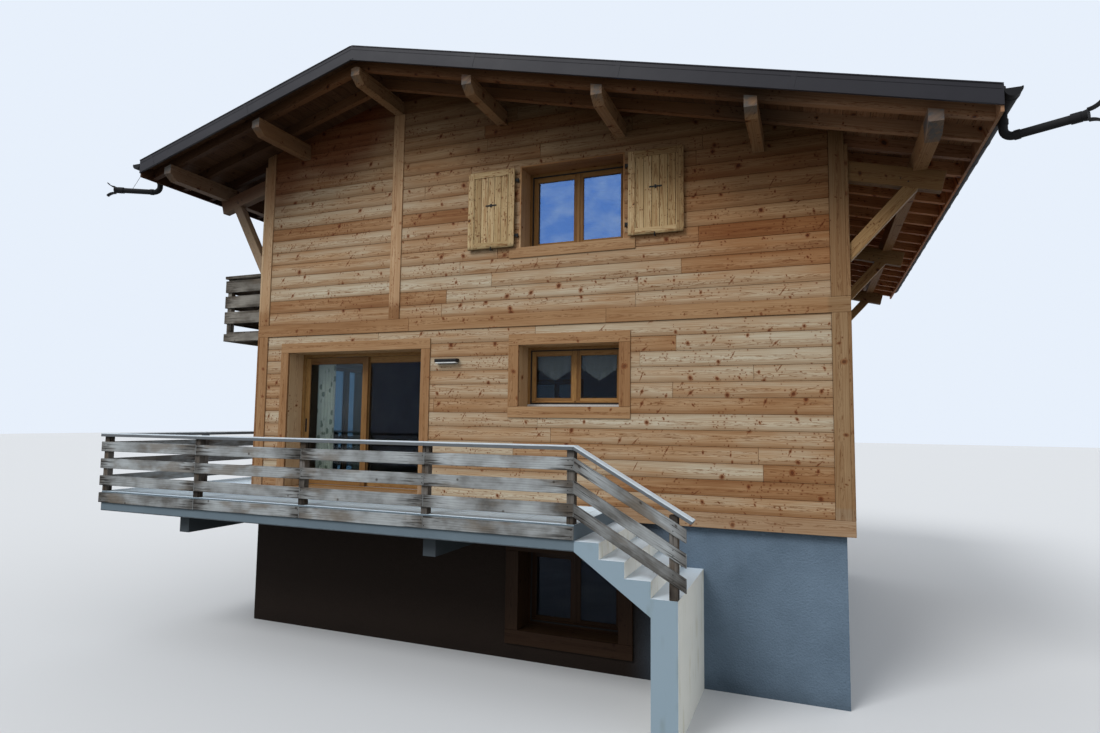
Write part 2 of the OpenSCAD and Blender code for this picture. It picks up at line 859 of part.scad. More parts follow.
module window_panes() {
    color("lightskyblue", 0.4) {
        on_front() {
            casement_panes(lower_front);
            casement_panes(upper_front);
        }
        translate([0, plinth_inset - boarding_t, 0]) on_front() casement_panes(basement_front);
        on_right() for (w = right_windows) casement_panes(w);
        on_back() for (w = back_lower) casement_panes(w);
        on_back() for (w = back_upper) casement_panes(w);
        on_left() for (w = left_doors) casement_panes(w);
        box(fixed_x0 + leaf_stile, door_in_x1 - leaf_stile, fixed_y0 + (leaf_t - pane_t) / 2,
            fixed_y0 + (leaf_t + pane_t) / 2, ground_floor_z + threshold_h + leaf_stile,
            door_in_top - leaf_stile);
    }
}

// A shutter lies open on the wall at rest; side is -1 for the left one
module shutter(side) {
    pin_x = side < 0 ? left_pin_x : right_pin_x;
    near = pin_x + side * shutter_edge;
    far = near + side * shutter_w;
    box(min(near, far), max(near, far), pin_y - shutter_off - shutter_t / 2,
        pin_y - shutter_off + shutter_t / 2, shutter_z0, shutter_z1);
}

module left_shutter() { color("khaki") shutter(-1); }

module right_shutter() { color("khaki") shutter(1); }

// Straps on the shutter's outer face, each ending in an eye round its pin
module shutter_hinges(side) {
    pin_x = side < 0 ? left_pin_x : right_pin_x;
    strap_y = pin_y - shutter_off + shutter_t / 2;
    far = pin_x + side * (shutter_edge + strap_l);
    eye_r = pin_r + pin_clear + eye_wall;
    for (z = hinge_zs) difference() {
        union() {
            translate([pin_x, pin_y, z - strap_h / 2]) cylinder(r = eye_r, h = strap_h);
            box(min(pin_x, far), max(pin_x, far), strap_y, strap_y + strap_t,
                z - strap_h / 2, z + strap_h / 2);
        }
        translate([pin_x, pin_y, z - strap_h / 2 - eps])
            cylinder(r = pin_r + pin_clear, h = strap_h + 2 * eps);
    }
}

module left_shutter_hinges() { color("black") shutter_hinges(-1); }

module right_shutter_hinges() { color("black") shutter_hinges(1); }

// Each pin stands on a hook that is driven into the wall below the eye
module shutter_pins() {
    seat_z = strap_h / 2 + eye_gap;
    color("black") for (x = [left_pin_x, right_pin_x], z = hinge_zs) {
        translate([x, pin_y, z - seat_z - pin_seat])
            cylinder(r = pin_r, h = pin_seat + seat_z + strap_h / 2 + pin_over);
        box(x - pin_r, x + pin_r, pin_y, core_f, z - seat_z - pin_seat, z - seat_z);
        translate([x, pin_y, z - seat_z - pin_seat])
            cylinder(r = pin_r + pin_clear + eye_wall, h = pin_seat);
    }
}

module wall_lamp() {
    color("black")
        box(left_x + lamp_x, left_x + lamp_x + lamp_w, front_y - lamp_d, core_f,
            lamp_z, lamp_z + lamp_h);
}

// A purlin with its top bevelled to the slope and its ends cut back underneath
module purlin(x) {
    half = purlin_w / 2;
    z_low = roof_z(x) - arm_drop;
    y0 = verge_f + purlin_inset;
    y1 = verge_b - purlin_inset;
    difference() {
        along_y(y0, y1) polygon([
            [x - half, z_low], [x + half, z_low], [x + half, roof_z(x + half) - purlin_drop],
            if (x == ridge_x) [x, ridge_z - purlin_drop],
            [x - half, roof_z(x - half) - purlin_drop]
        ]);
        for (e = [[y0, 1], [y1, -1]]) along_x(x - purlin_w, x + purlin_w) polygon([
            [e[0] - e[1] * eps, z_low - eps], [e[0] + e[1] * purlin_cut_l, z_low - eps],
            [e[0] - e[1] * eps, z_low + purlin_cut_h]
        ]);
    }
}

module purlin_set() { for (x = purlin_xs) purlin(x); }

module purlins() { color("burlywood") purlin_set(); }

// The rafters, or the room for them in the walls: a seat gap all round and open at the top
module rafter_set(room = false) {
    side = room ? seat_gap : 0;
    top = room ? rafter_drop - eps : rafter_drop;
    low = room ? purlin_drop : purlin_drop - seat_gap;
    for (i = [0:rafter_n - 1]) {
        y = rafter_y0 + i * rafter_step;
        roof_layer(face_l + eave_board_t, ridge_x - slit / 2, y - side, y + rafter_w + side,
            top, low);
        roof_layer(ridge_x + slit / 2, face_r - eave_board_t, y - side, y + rafter_w + side,
            top, low);
    }
}

module rafters() { color("sienna") rafter_set(); }

module roof_boarding() {
    low = rafter_drop - seat_gap;
    color("sienna") {
        roof_layer(face_l, ridge_x - slit / 2, verge_f + verge_board_t,
            verge_b - verge_board_t, soffit_drop, low);
        roof_layer(ridge_x + slit / 2, face_r, verge_f + verge_board_t,
            verge_b - verge_board_t, soffit_drop, low);
    }
}

module roof_sheet() {
    low = soffit_drop - seat_gap;
    color("dimgray") {
        roof_layer(eave_l, ridge_x - slit / 2, verge_f + verge_board_t,
            verge_b - verge_board_t, sheet_drop, low);
        roof_layer(ridge_x + slit / 2, eave_r, verge_f + verge_board_t,
            verge_b - verge_board_t, sheet_drop, low);
    }
}

module verge_boards() {
    color("darkslategray") for (y = [verge_f, verge_b - verge_board_t])
        roof_layer(face_l, face_r, y, y + verge_board_t, 0, verge_board_h);
}

// Plumb boards across the rafter ends
module eave_boards() {
    color("sienna") for (x = [face_l, face_r - eave_board_t])
        along_y(verge_f + verge_board_t, verge_b - verge_board_t) polygon([
            [x, roof_z(x) - rafter_drop], [x + eave_board_t, roof_z(x + eave_board_t) - rafter_drop],
            [x + eave_board_t, min(roof_z(x), roof_z(x + eave_board_t)) - rafter_drop - eave_board_h],
            [x, min(roof_z(x), roof_z(x + eave_board_t)) - rafter_drop - eave_board_h]
        ]);
}

// An arm laid to the slope of the roof under the eave purlin, and a strut up to it
module bracket(side, fall) {
    wall_x = side < 0 ? core_l : core_r;
    end_x = (side < 0 ? left_x : right_x) + side * arm_reach;
    meet_x = wall_x + side * strut_reach;
    top_drop = arm_drop - let_in;
    half = strut_t / 2 * sqrt(1 + pow(strut_reach / fall, 2));
    half_z = strut_t / 2 * sqrt(1 + pow(fall / strut_reach, 2));
    arm_z = roof_z(meet_x) - top_drop - arm_h;
    foot_z = arm_z - fall;
    polygon([
        [wall_x, roof_z(wall_x) - top_drop], [end_x, roof_z(end_x) - top_drop],
        [end_x, roof_z(end_x) - top_drop - arm_h], [wall_x, roof_z(wall_x) - top_drop - arm_h]
    ]);
    polygon([
        [wall_x, foot_z + half_z], [wall_x, foot_z - half_z],
        [meet_x + side * half, arm_z], [meet_x + side * half, arm_z + arm_h / 2],
        [meet_x - side * half, arm_z + arm_h / 2], [meet_x - side * half, arm_z]
    ]);
}

module bracket_set() {
    step = (house_d - 2 * boarding_t - arm_w) / (bracket_n - 1);
    for (i = [0:bracket_n - 1]) along_y(core_f + i * step, core_f + i * step + arm_w) {
        bracket(-1, left_strut_fall);
        bracket(1, right_strut_fall);
    }
}

module eave_brackets() {
    color("burlywood") difference() {
        bracket_set();
        purlin_set();
    }
}

// A half-round gutter with closed ends
module gutter(x, rim_z) {
    translate([x, 0, rim_z]) difference() {
        along_y(verge_f, verge_b) intersection() {
            circle(r = gutter_r);
            translate([-gutter_r, -gutter_r]) square([2 * gutter_r, gutter_r]);
        }
        along_y(verge_f + gutter_t, verge_b - gutter_t) circle(r = gutter_r - gutter_t);
    }
}

module gutters() {
    color("darkslategray") {
        gutter(gutter_l_x, gutter_l_z);
        gutter(gutter_r_x, gutter_r_z);
    }
}

// A pipe that drops from the gutter, bends outwards and ends in a mouth with two curled lips
module spout() {
    translate([0, 0, -spout_drop]) cylinder(r = spout_r, h = spout_drop + spout_r / 2);
    translate([spout_bend, 0, -spout_drop]) rotate([90, 180, 0])
        rotate_extrude(angle = 90) translate([spout_bend, 0]) circle(r = spout_r);
    translate([spout_bend, 0, -spout_drop - spout_bend]) rotate([0, 90, 0])
        cylinder(r = spout_r, h = spout_l);
    translate([spout_bend + spout_l, 0, -spout_drop - spout_bend]) {
        rotate([0, 90, 0]) cylinder(r1 = spout_r, r2 = mouth_r, h = flare_l);
        translate([flare_l, lip_w / 2, 0]) rotate([90, 0, 0]) linear_extrude(lip_w) {
            lip();
            mirror([0, 1]) lip();
        }
    }
}

// A lip that starts inside the flared end and curls away from the other one
module lip() {
    translate([-lip_t / 2, mouth_r - lip_t + lip_r]) intersection() {
        difference() {
            circle(r = lip_r);
            translate([0, lip_t / 2]) circle(r = lip_r - lip_t / 2);
        }
        translate([0, -lip_r]) square([mouth_l - flare_l, lip_r]);
    }
}

module spouts() {
    color("darkslategray") {
        hung_spout(gutter_l_x, gutter_l_z, 180 + spout_turn);
        hung_spout(gutter_r_x, gutter_r_z, -spout_turn);
    }
}

// A spout whose head fits round the underside of its gutter
module hung_spout(x, rim_z, turn) {
    translate([x, verge_f + spout_back, rim_z]) difference() {
        translate([0, 0, -gutter_r]) rotate([0, 0, turn]) spout();
        rotate([90, 0, 0]) cylinder(r = gutter_r + spout_seat, h = 4 * spout_r, center = true);
    }
}

module terrace_slab() {
    color("lightsteelblue") terrace_notch();
}

module terrace_beams() {
    color("white") {
        for (i = [0, 1]) {
            x = left_x + plinth_inset + i * beam_pitch;
            box(x, x + beam_w, slab_f + beam_back, front_y + plinth_inset, slab_z0 - beam_h,
                slab_z0);
        }
        for (y = [slab_b - beam_back - beam_w, front_y + wing_l / 2 - beam_w])
            box(slab_l + beam_back, left_x + plinth_inset, y, y + beam_w, slab_z0 - beam_h,
                slab_z0);
    }
}

module post(x, y, z0, z1) { box(x, x + post_w, y, y + post_w, z0, z1); }

module terrace_posts() {
    top = coping_z - coping_t;
    color("dimgray") {
        for (i = [0:front_bays]) post(slab_l + i * front_step, slab_f, terrace_z, top);
        for (i = [1:wing_bays]) post(slab_l, slab_f + i * wing_step, terrace_z, top);
        difference() {
            post(end_post_x, slab_f, terrace_z - (riser_n - 1) * riser,
                coping_z - (end_post_x - slab_r) * tan(stair_rail_pitch));
            stair_coping_cut();
        }
    }
}

// The strip between two lines that fall with the stair rail from the head of the stair
module stair_strip(x0, x1, top, h, y0, y1) {
    t = tan(stair_rail_pitch);
    along_y(y0, y1) polygon([
        [x0, top - (x0 - slab_r) * t], [x1, top - (x1 - slab_r) * t],
        [x1, top - (x1 - slab_r) * t - h], [x0, top - (x0 - slab_r) * t - h]
    ]);
}

module stair_coping_cut() {
    stair_strip(slab_r, stair_end + 2 * coping_past, coping_z + coping_w,
        coping_t + coping_w + seat_gap, slab_f - rail_t, slab_f + coping_w);
}

// Boards on the outside of the posts: along the front, the left side, the back end and the stair
module terrace_rails() {
    color("gray") {
        for (i = [0:rail_n - 1]) {
            z = rail_z0 + i * rail_pitch;
            box(slab_l - rail_t, slab_r, slab_f - rail_t, slab_f, z, z + rail_h);
            box(slab_l - rail_t, slab_l, slab_f + slit, slab_b, z, z + rail_h);
            box(slab_l, house_side - slit, slab_b, slab_b + rail_t, z, z + rail_h);
        }
        for (i = [1:rail_n - 1])
            stair_strip(slab_r + slit, stair_end + board_past, rail_z0 + i * rail_pitch + rail_h,
                rail_h, slab_f - rail_t, slab_f);
    }
}

module terrace_coping() {
    z0 = coping_z - coping_t;
    x0 = slab_l - rail_t - coping_lip;
    x1 = x0 + coping_w;
    y0 = slab_f - rail_t - coping_lip;
    y1 = y0 + coping_w;
    y3 = slab_b + rail_t + coping_lip;
    color("lightsteelblue") {
        box(x0, slab_r, y0, y1, z0, coping_z);
        box(x0, x1, y1 - eps, y3, z0, coping_z);
        box(x1 - eps, house_side - slit, y3 - coping_w, y3, z0, coping_z);
        stair_strip(slab_r, stair_end + coping_past, coping_z, coping_t, y0, y1);
    }
}

// The flight seen from the front: steps above, a sloping underside, and the footing at its end
module flight_outline() {
    polygon([
        [slab_r, slab_z0], [slab_r, terrace_z - riser],
        for (i = [1:riser_n - 1]) each [
            [slab_r + i * tread_d, terrace_z - i * riser],
            [slab_r + i * tread_d, terrace_z - (i + 1) * riser]
        ],
        [stair_end, 0], [stair_end - tread_d, 0],
        [stair_end - tread_d, stair_foot_z - waist + riser]
    ]);
}

module stair() {
    color("ghostwhite") {
        along_y(slab_f, house_face) flight_outline();
        difference() {
            along_y(house_face - eps, front_y + plinth_inset) flight_outline();
            box(slab_r - eps, stair_end + eps, house_face - 2 * eps, back_y,
                skirt_z - stair_gap, terrace_z);
        }
    }
}

module balcony_floor() {
    z1 = upper_floor_z;
    color("dimgray") {
        box(balcony_l_x + rail_t, house_side, balcony_f + rail_t, balcony_b - rail_t,
            z1 - balcony_t, z1);
        for (i = [0:joist_n - 1]) {
            y = balcony_f + i * joist_step;
            box(balcony_l_x + rail_t, house_side, max(y, balcony_f + rail_t),
                min(y + joist_w, balcony_b - rail_t), z1 - balcony_t - joist_h, z1 - balcony_t);
        }
    }
}

// Posts, boards and coping on the three open sides of the balcony
module balcony_rail() {
    floor_z = upper_floor_z;
    post_x = balcony_l_x + rail_t;
    top = floor_z + balcony_post_h;
    color("gray") {
        for (y = [balcony_f + rail_t, (balcony_f + balcony_b - post_w) / 2,
            balcony_b - rail_t - post_w]) post(post_x, y, floor_z, top);
        for (i = [0:balcony_board_n - 1]) {
            z1 = floor_z + balcony_rail_h - balcony_board_drop - i * balcony_board_pitch;
            balcony_belt(z1 - balcony_board_h, z1, rail_t, 0);
        }
        balcony_belt(floor_z - balcony_t - joist_h, floor_z - balcony_t, rail_t, 0);
        balcony_belt(top, floor_z + balcony_rail_h, coping_w, coping_lip);
    }
}

// A board round the three open sides of the balcony
module balcony_belt(z0, z1, w, out) {
    difference() {
        box(balcony_l_x - out, house_side, balcony_f - out, balcony_b + out, z0, z1);
        box(balcony_l_x - out + w, house_side + eps, balcony_f - out + w, balcony_b + out - w,
            z0 - eps, z1 + eps);
    }
}

base_slab();
basement_front_wall();
basement_left_wall();
basement_right_wall();
basement_back_wall();
ground_floor();
upper_floor();
front_wall_left();
front_wall_over_door();
front_wall_right();
front_gable();
left_wall();
right_wall();
back_wall();
back_gable();
corner_boards();
band_board();
skirt_board();
ridge_trim();
door_surround();
window_surrounds();
door_frame();
fixed_leaf();
sliding_leaf();
sliding_pane();
lower_window();
upper_window();
basement_window();
side_windows();
window_panes();
left_shutter();
right_shutter();
left_shutter_hinges();
right_shutter_hinges();
shutter_pins();
wall_lamp();
purlins();
rafters();
roof_boarding();
roof_sheet();
verge_boards();
eave_boards();
eave_brackets();
gutters();
spouts();
terrace_slab();
terrace_beams();
terrace_posts();
terrace_rails();
terrace_coping();
stair();
balcony_floor();
balcony_rail();
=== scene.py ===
# %% [markdown]
# This lesson dresses an alpine chalet. The house's solids come packed from a CAD program, and
# Blender adds what makes it look built: boards with knots, weathered rails, glass and sheet
# metal. The first cell loads the imported house.

# %% Load the imported house
import bpy
import bmesh
import math
import random
from itertools import count
from mathutils import Matrix, Vector


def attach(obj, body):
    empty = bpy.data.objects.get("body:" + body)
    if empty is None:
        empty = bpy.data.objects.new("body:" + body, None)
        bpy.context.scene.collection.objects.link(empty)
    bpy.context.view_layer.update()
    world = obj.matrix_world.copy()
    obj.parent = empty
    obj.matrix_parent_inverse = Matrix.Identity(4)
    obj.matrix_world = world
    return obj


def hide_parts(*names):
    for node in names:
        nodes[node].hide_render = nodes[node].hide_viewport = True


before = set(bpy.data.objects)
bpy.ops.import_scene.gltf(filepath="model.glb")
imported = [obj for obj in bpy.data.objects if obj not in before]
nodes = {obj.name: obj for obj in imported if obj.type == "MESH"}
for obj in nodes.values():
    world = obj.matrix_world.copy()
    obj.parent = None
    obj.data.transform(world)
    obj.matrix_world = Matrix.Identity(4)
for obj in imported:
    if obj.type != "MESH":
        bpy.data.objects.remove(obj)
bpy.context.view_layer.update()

# %% [markdown]
# The camera stands where the photographer stood, low and near the right corner of the front.
# Its place and turn were worked out from the edges of the house, so they are given as numbers:
# a view direction turned to the left, a slight upward tilt and a slight roll.

# %% Camera
CAMERA_AT = (4.104, -12.542, 3.253)
YAW, TILT, ROLL = 0.37733, 0.08062, 0.01234
SENSOR_MM, PICTURE_PX, FOCAL_PX = 36, 1100, 670.0

right = Vector((math.cos(YAW), math.sin(YAW), 0))
ahead_level = Vector((-math.sin(YAW), math.cos(YAW), 0))
ahead = ahead_level * math.cos(TILT) + Vector((0, 0, math.sin(TILT)))
up = Vector((0, 0, math.cos(TILT))) - ahead_level * math.sin(TILT)
image_x = right * math.cos(ROLL) + up * math.sin(ROLL)
image_y = up * math.cos(ROLL) - right * math.sin(ROLL)
camera = bpy.data.objects.new("camera", bpy.data.cameras.new("camera"))
bpy.context.scene.collection.objects.link(camera)
turn = Matrix((image_x, image_y, -ahead)).transposed().to_4x4()
camera.matrix_world = Matrix.Translation(CAMERA_AT) @ turn
camera.data.lens = SENSOR_MM * FOCAL_PX / PICTURE_PX
camera.data.clip_end = 300
bpy.context.scene.camera = camera
print("lens", round(camera.data.lens, 2), "mm")

# %% [markdown]
# Shader sums are easier to read as sums. A small class wraps a socket and turns plus, minus,
# times and so on into Math nodes, with a few words for soft steps and tints. A graph adds any
# other node by one method, and a finish is the graph of one material. Matt timber and masonry
# hardly mirror, so every finish starts from a low index of refraction.

# %% Sockets and finishes
MATT_IOR = 1.2


class Val:
    """A number, point or colour in a graph; its operators and methods add nodes."""

    def __init__(self, graph, socket):
        self.graph, self.socket = graph, socket

    def math(self, operation, *others):
        ins = dict(enumerate((self, *others)))
        return self.graph.node("Math", {"operation": operation}, ins)

    def __add__(self, o): return self.math("ADD", o)
    def __radd__(self, o): return self.math("ADD", o)
    def __sub__(self, o): return self.math("SUBTRACT", o)
    def __rsub__(self, o): return -self + o
    def __mul__(self, o): return self.math("MULTIPLY", o)
    def __rmul__(self, o): return self.math("MULTIPLY", o)
    def __truediv__(self, o): return self.math("DIVIDE", o)
    def __neg__(self): return self.math("MULTIPLY", -1.0)
    def __abs__(self): return self.math("ABSOLUTE")
    def __pow__(self, o): return self.math("POWER", o)
    def __gt__(self, o): return self.math("GREATER_THAN", o)
    def __lt__(self, o): return self.math("LESS_THAN", o)
    def floor(self): return self.math("FLOOR")
    def fract(self): return self.math("FRACT")
    def high(self, o): return self.math("MAXIMUM", o)

    def smooth(self, zero, one):
        """A soft step that is 0 at the first value and 1 at the second."""
        return self.graph.node("MapRange", {"interpolation_type": "SMOOTHSTEP"},
                               {"Value": self, "From Min": zero, "From Max": one})

    def cover(self, mask, colour):
        """Lays a colour over this one where the mask is 1."""
        return self.graph.mix(mask, self, colour)

    def tint(self, mask, colour):
        """Multiplies this colour where the mask is 1."""
        return self.graph.mix(mask, self, colour, "MULTIPLY")

    def parts(self, kind="XYZ"):
        split = self.graph.node("Separate" + kind, None, {0: self}).socket.node
        return [Val(self.graph, out) for out in split.outputs]


class Graph:
    """A tree of nodes. Its node method adds any node, sets it and links it."""

    def __init__(self, tree):
        self.tree = tree

    def node(self, kind, settings=None, ins=None, out=0):
        n = self.tree.nodes.new("ShaderNode" + kind)
        for key, value in (settings or {}).items():
            if key == "stops":
                ramp = n.color_ramp.elements
                while len(ramp) < len(value):
                    ramp.new(0.5)
                for stop, (at, colour) in zip(ramp, value):
                    stop.position, stop.color = at, (*colour, 1)
            else:
                setattr(n, key, value)
        for key, value in (ins or {}).items():
            self.feed(n.inputs[key], value)
        return Val(self, n.outputs[out])

    def feed(self, socket, value):
        if isinstance(value, Val):
            self.tree.links.new(value.socket, socket)
        else:
            socket.default_value = (*value, 1) if socket.type == "RGBA" else value

    def here(self):
        """The point on the object that is being coloured."""
        return self.node("TexCoord", out="Object")

    def place(self):
        return self.here().parts()

    def point(self, x, y, z=0.0):
        return self.node("CombineXYZ", None, {0: x, 1: y, 2: z})

    def noise(self, at, scale=1.0, detail=2.0, rough=0.5):
        at = self.point(*at) if isinstance(at, tuple) else at
        return self.node("TexNoise", None, {"Vector": at, "Scale": scale, "Detail": detail,
                                            "Roughness": rough}, "Fac")

    def cells(self, at):
        """The distance to the nearest of many strewn points, one to a unit."""
        return self.node("TexVoronoi", {"voronoi_dimensions": "3D"},
                         {"Vector": self.point(*at), "Scale": 1.0}, "Distance")

    def chance(self, number):
        """Three chances between 0 and 1 that belong to a number."""
        drawn = self.node("TexWhiteNoise", {"noise_dimensions": "1D"}, {"W": number}, "Color")
        return drawn.parts("Color")

    def scatter(self, x, y, nx, ny):
        """Strews nx by ny spots a metre: the way to the nearest one, and three chances."""
        spots = self.node("TexVoronoi", {"voronoi_dimensions": "2D"},
                          {"Vector": self.point(x * nx, y * ny), "Scale": 1.0,
                           "Randomness": 0.95}, "Position")
        sx, sy, _ = spots.parts()
        chances = Val(self, spots.socket.node.outputs["Color"]).parts("Color")
        return [x - sx / nx, y - sy / ny, *chances]

    def mix(self, mask, a, b, blend="MIX"):
        return self.node("Mix", {"data_type": "RGBA", "blend_type": blend},
                         {0: mask, 6: a, 7: b}, 2)

    def ramp(self, value, *stops):
        return self.node("ValToRGB", {"stops": stops}, {"Fac": value}, "Color")


class Finish(Graph):
    """One material: the graph of its Principled shader, and the slot that it fills."""

    def __init__(self, name, slot, **fixed):
        self.slot = slot
        self.mat = bpy.data.materials.new(name)
        self.mat.use_nodes = True
        super().__init__(self.mat.node_tree)
        self.shader = self.tree.nodes["Principled BSDF"]
        self.set(**{"IOR": MATT_IOR, **fixed})

    def set(self, **links):
        for socket, value in links.items():
            self.feed(self.shader.inputs[socket.replace("_", " ")], value)

    def bump(self, height, distance):
        self.set(Normal=self.node("Bump", None, {"Height": height, "Distance": distance,
                                                 "Strength": 1.0}))


def speckled(name, slot, scale, detail, *stops, **fixed):
    """A finish whose colour comes from one fine grain."""
    f = Finish(name, slot, **fixed)
    f.grain = f.noise(f.here(), scale, detail)
    f.set(Base_Color=f.ramp(f.grain, *stops))
    return f


def looked_at(graph):
    """1 for what the camera, a mirror or glass sees, 0 for light that falls on something."""
    camera_ray, glossy_ray, glass_ray = (graph.node("LightPath", out="Is %s Ray" % kind)
                                         for kind in ("Camera", "Glossy", "Transmission"))
    return camera_ray.high(glossy_ray).high(glass_ray)


print("a finish starts with an index of refraction of", MATT_IOR)

# %% [markdown]
# A plain studio: a pale world that lights from all round, and one wide soft sun from the
# front. What the camera, the glass and the metal see of the world is a pale sky colour, which
# adds no light to the house. The floor comes last.

# %% World and sun
GLOW, GLOW_STRENGTH = (0.93, 0.96, 1.0), 0.90
SKY, SKY_STRENGTH = (0.80, 0.87, 0.97), 1.0
SUN_STRENGTH, SUN_WIDTH, SUN_TURN = 1.9, 25, (48, 0, -28)

world = bpy.data.worlds.new("studio")
bpy.context.scene.world = world
world.use_nodes = True
air = Graph(world.node_tree)
glow = world.node_tree.nodes["Background"]
air.feed(glow.inputs["Color"], GLOW)
air.feed(glow.inputs["Strength"], GLOW_STRENGTH)
sky = air.node("Background", None, {"Color": SKY, "Strength": SKY_STRENGTH})
both = air.node("MixShader", None, {0: looked_at(air), 1: Val(air, glow.outputs[0]), 2: sky})
air.feed(world.node_tree.nodes["World Output"].inputs["Surface"], both)
bpy.context.scene.view_settings.view_transform = "Standard"

sun = bpy.data.objects.new("sun", bpy.data.lights.new("sun", "SUN"))
sun.data.energy = SUN_STRENGTH
sun.data.angle = math.radians(SUN_WIDTH)
sun.rotation_euler = [math.radians(a) for a in SUN_TURN]
bpy.context.scene.collection.objects.link(sun)
print("sun", SUN_STRENGTH, "and world", GLOW_STRENGTH)

# %% [markdown]
# The ridge stands left of the middle, and the right slope is a little flatter. Many cells ask
# how high the roof is: pieces ask in numbers, and finishes with sockets, because timber close
# under a roof keeps another tone.

# %% Roof lines
RIDGE_X, RIDGE_Z = -1.85, 8.462
PITCH = {-1: math.radians(15), 1: math.radians(14.1)}


def roof_z(x):
    return RIDGE_Z - abs(x - RIDGE_X) * math.tan(PITCH[-1 if x < RIDGE_X else 1])


def under_roof(x, z):
    """How far a point lies below the roof's surface, as a socket."""
    out = x - RIDGE_X
    return RIDGE_Z - (out * -math.tan(PITCH[-1])).high(out * math.tan(PITCH[1])) - z


print("the roof falls from", RIDGE_Z, "m to", round(roof_z(4.5), 2), "m at the right wall")

# %% [markdown]
# Larch is a knotty softwood. Three things make it read as boards and not as a brown wall: each
# board has its own tone, the growth rings run along it in long flames, and dark knots with a
# reddish halo push the rings aside. Every board carries a number and its own grain
# coordinates, so the pattern turns with the board.

# %% Timber
def knot_marks(f, x, y, amount, size, r3, whiskers):
    """Masks of the knots' dark cores and of the reddish wood round them."""
    wobble = f.noise((x * 70.0, y * 70.0), detail=3.0, rough=0.7) * 0.014 - 0.007
    crowd = f.noise((x * 1.3, y * 2.2, 3.3), detail=1.0)
    dx, dy, r, keep, shape = f.scatter(x, y, 2.6, 5.2)
    turn = (shape - 0.5) * 1.9 + 1.57
    c, s = turn.math("COSINE"), turn.math("SINE")
    a, b = dx * c + dy * s, dy * c - dx * s
    there = keep < (0.36 + 0.38 * amount)
    slim = r * 0.55 + 0.30
    near = (a * a * slim + b * b / slim).math("SQRT") + wobble * (r * 0.6 + 0.4)
    radius = (r * r * size + 0.009) * there * (r3 * 0.4 + 0.75)
    core = near.smooth(radius, radius * 0.62)
    halo = near.smooth(radius * 2.1, radius * 0.8)
    bonus = (dx * dx + dy * dy).math("SQRT").smooth(0.15, 0.05) * there * 0.30
    # Pin knots crowd round the large ones.
    dx, dy, r, keep, _ = f.scatter(x + 5.1, y + 2.7, 14.0, 26.0)
    near = (dx * dx + dy * dy).math("SQRT") + wobble * 0.5
    radius = (r * 0.0050 + 0.0035) * (keep * 0.5 + crowd + bonus > (1.15 - 0.15 * amount))
    core = core.high(near.smooth(radius * 1.15, radius * 0.7) * 0.9)
    halo = halo.high(near.smooth(radius * 3.0, radius) * 0.5)
    if whiskers:
        thin = abs(b + wobble * 0.5).smooth(0.0085, 0.0035)
        hair = thin * abs(a).smooth(0.085, 0.03) * there * (shape.fract() > 0.68)
        core = core.high(hair * 0.60 * whiskers)
        halo = halo.high(hair * whiskers)
    return core, halo


def timber(f, u, v, board, tones, knot, knots=1.0, shade=None, ring=1.0, contrast=1.0,
           knot_r=0.024, crown_tone_and_shade=0.0, whiskers=0.0):
    """Colours a board whose grain runs along u; returns its colour and its relief."""
    r1, r2, r3 = f.chance(board)
    x = u + r1 * 41.0
    y = v * 1.013 + r2 * 13.0
    v = v - v.math("ROUND")
    across = abs(v + (r3 - 0.5) * 0.08)
    flow = f.noise((x * 0.7, y * 3.2), detail=2.0, rough=0.45) * 3.4
    swirl = across * across * (420.0 * ring) + x * 0.8 + flow
    if knots:
        core, halo = knot_marks(f, x, y, knots, knot_r, r3, whiskers)
        swirl = swirl + halo * 0.7
    rings = ((swirl * math.tau).math("SINE") * 0.5 + 0.5) ** 2.6
    fibre = f.noise((x * 1.7, y * 75.0, r3 * 9.0), detail=4.0, rough=0.65)
    flake = f.noise((x * 10.0, y * 95.0, r1 * 5.0), detail=2.0, rough=0.6)
    cloud = f.noise((x * 0.75, y * 6.5, r2 * 7.0), detail=4.0, rough=0.6)
    tone = ((r2 ** 1.9) * 0.72 + cloud * 1.3 - 0.47).math("MINIMUM", 1.0)
    heart = abs(across - 0.010 + (cloud - 0.5) * 0.10).smooth(0.024, 0.006)
    dashes = flake.smooth(0.55, 0.60) * heart
    colour = (f.ramp(tone, *tones)
              .tint(fibre.smooth(0.50, 0.70) * 0.60 * contrast, (0.74, 0.60, 0.46))
              .tint(rings * 0.42 * contrast, (0.62, 0.45, 0.31))
              .tint(fibre.smooth(0.47, 0.32) * 0.35 * contrast, (1.28, 1.30, 1.34))
              .tint(dashes * 0.75 * contrast, (0.42, 0.24, 0.12)))
    # Darker towards each board's edges, most at its lower edge: partly the wood's edge tone, partly
    # painted shade of a rounded board.
    if crown_tone_and_shade:
        side = abs(v + 0.018 + (r1 - 0.5) * 0.030)
        colour = colour.tint(side.smooth(0.040, 0.105) * crown_tone_and_shade, (0.56, 0.41, 0.28))
    relief = rings * -0.25 + fibre * 0.35
    if knots:
        colour = colour.tint(halo * 0.75, (0.60, 0.28, 0.12)).cover(core * 0.95, knot)
        relief = relief - core * 0.5
    return (shade(colour) if shade else colour), relief


def board_sockets(f):
    """The grain coordinates, the number and the half length that each board carries."""
    u, v, _ = f.node("UVMap", {"uv_map": "grain"}).parts()
    number, half = (f.node("Attribute", {"attribute_name": name}, None, "Fac")
                    for name in ("board", "half"))
    return u, v, number, half


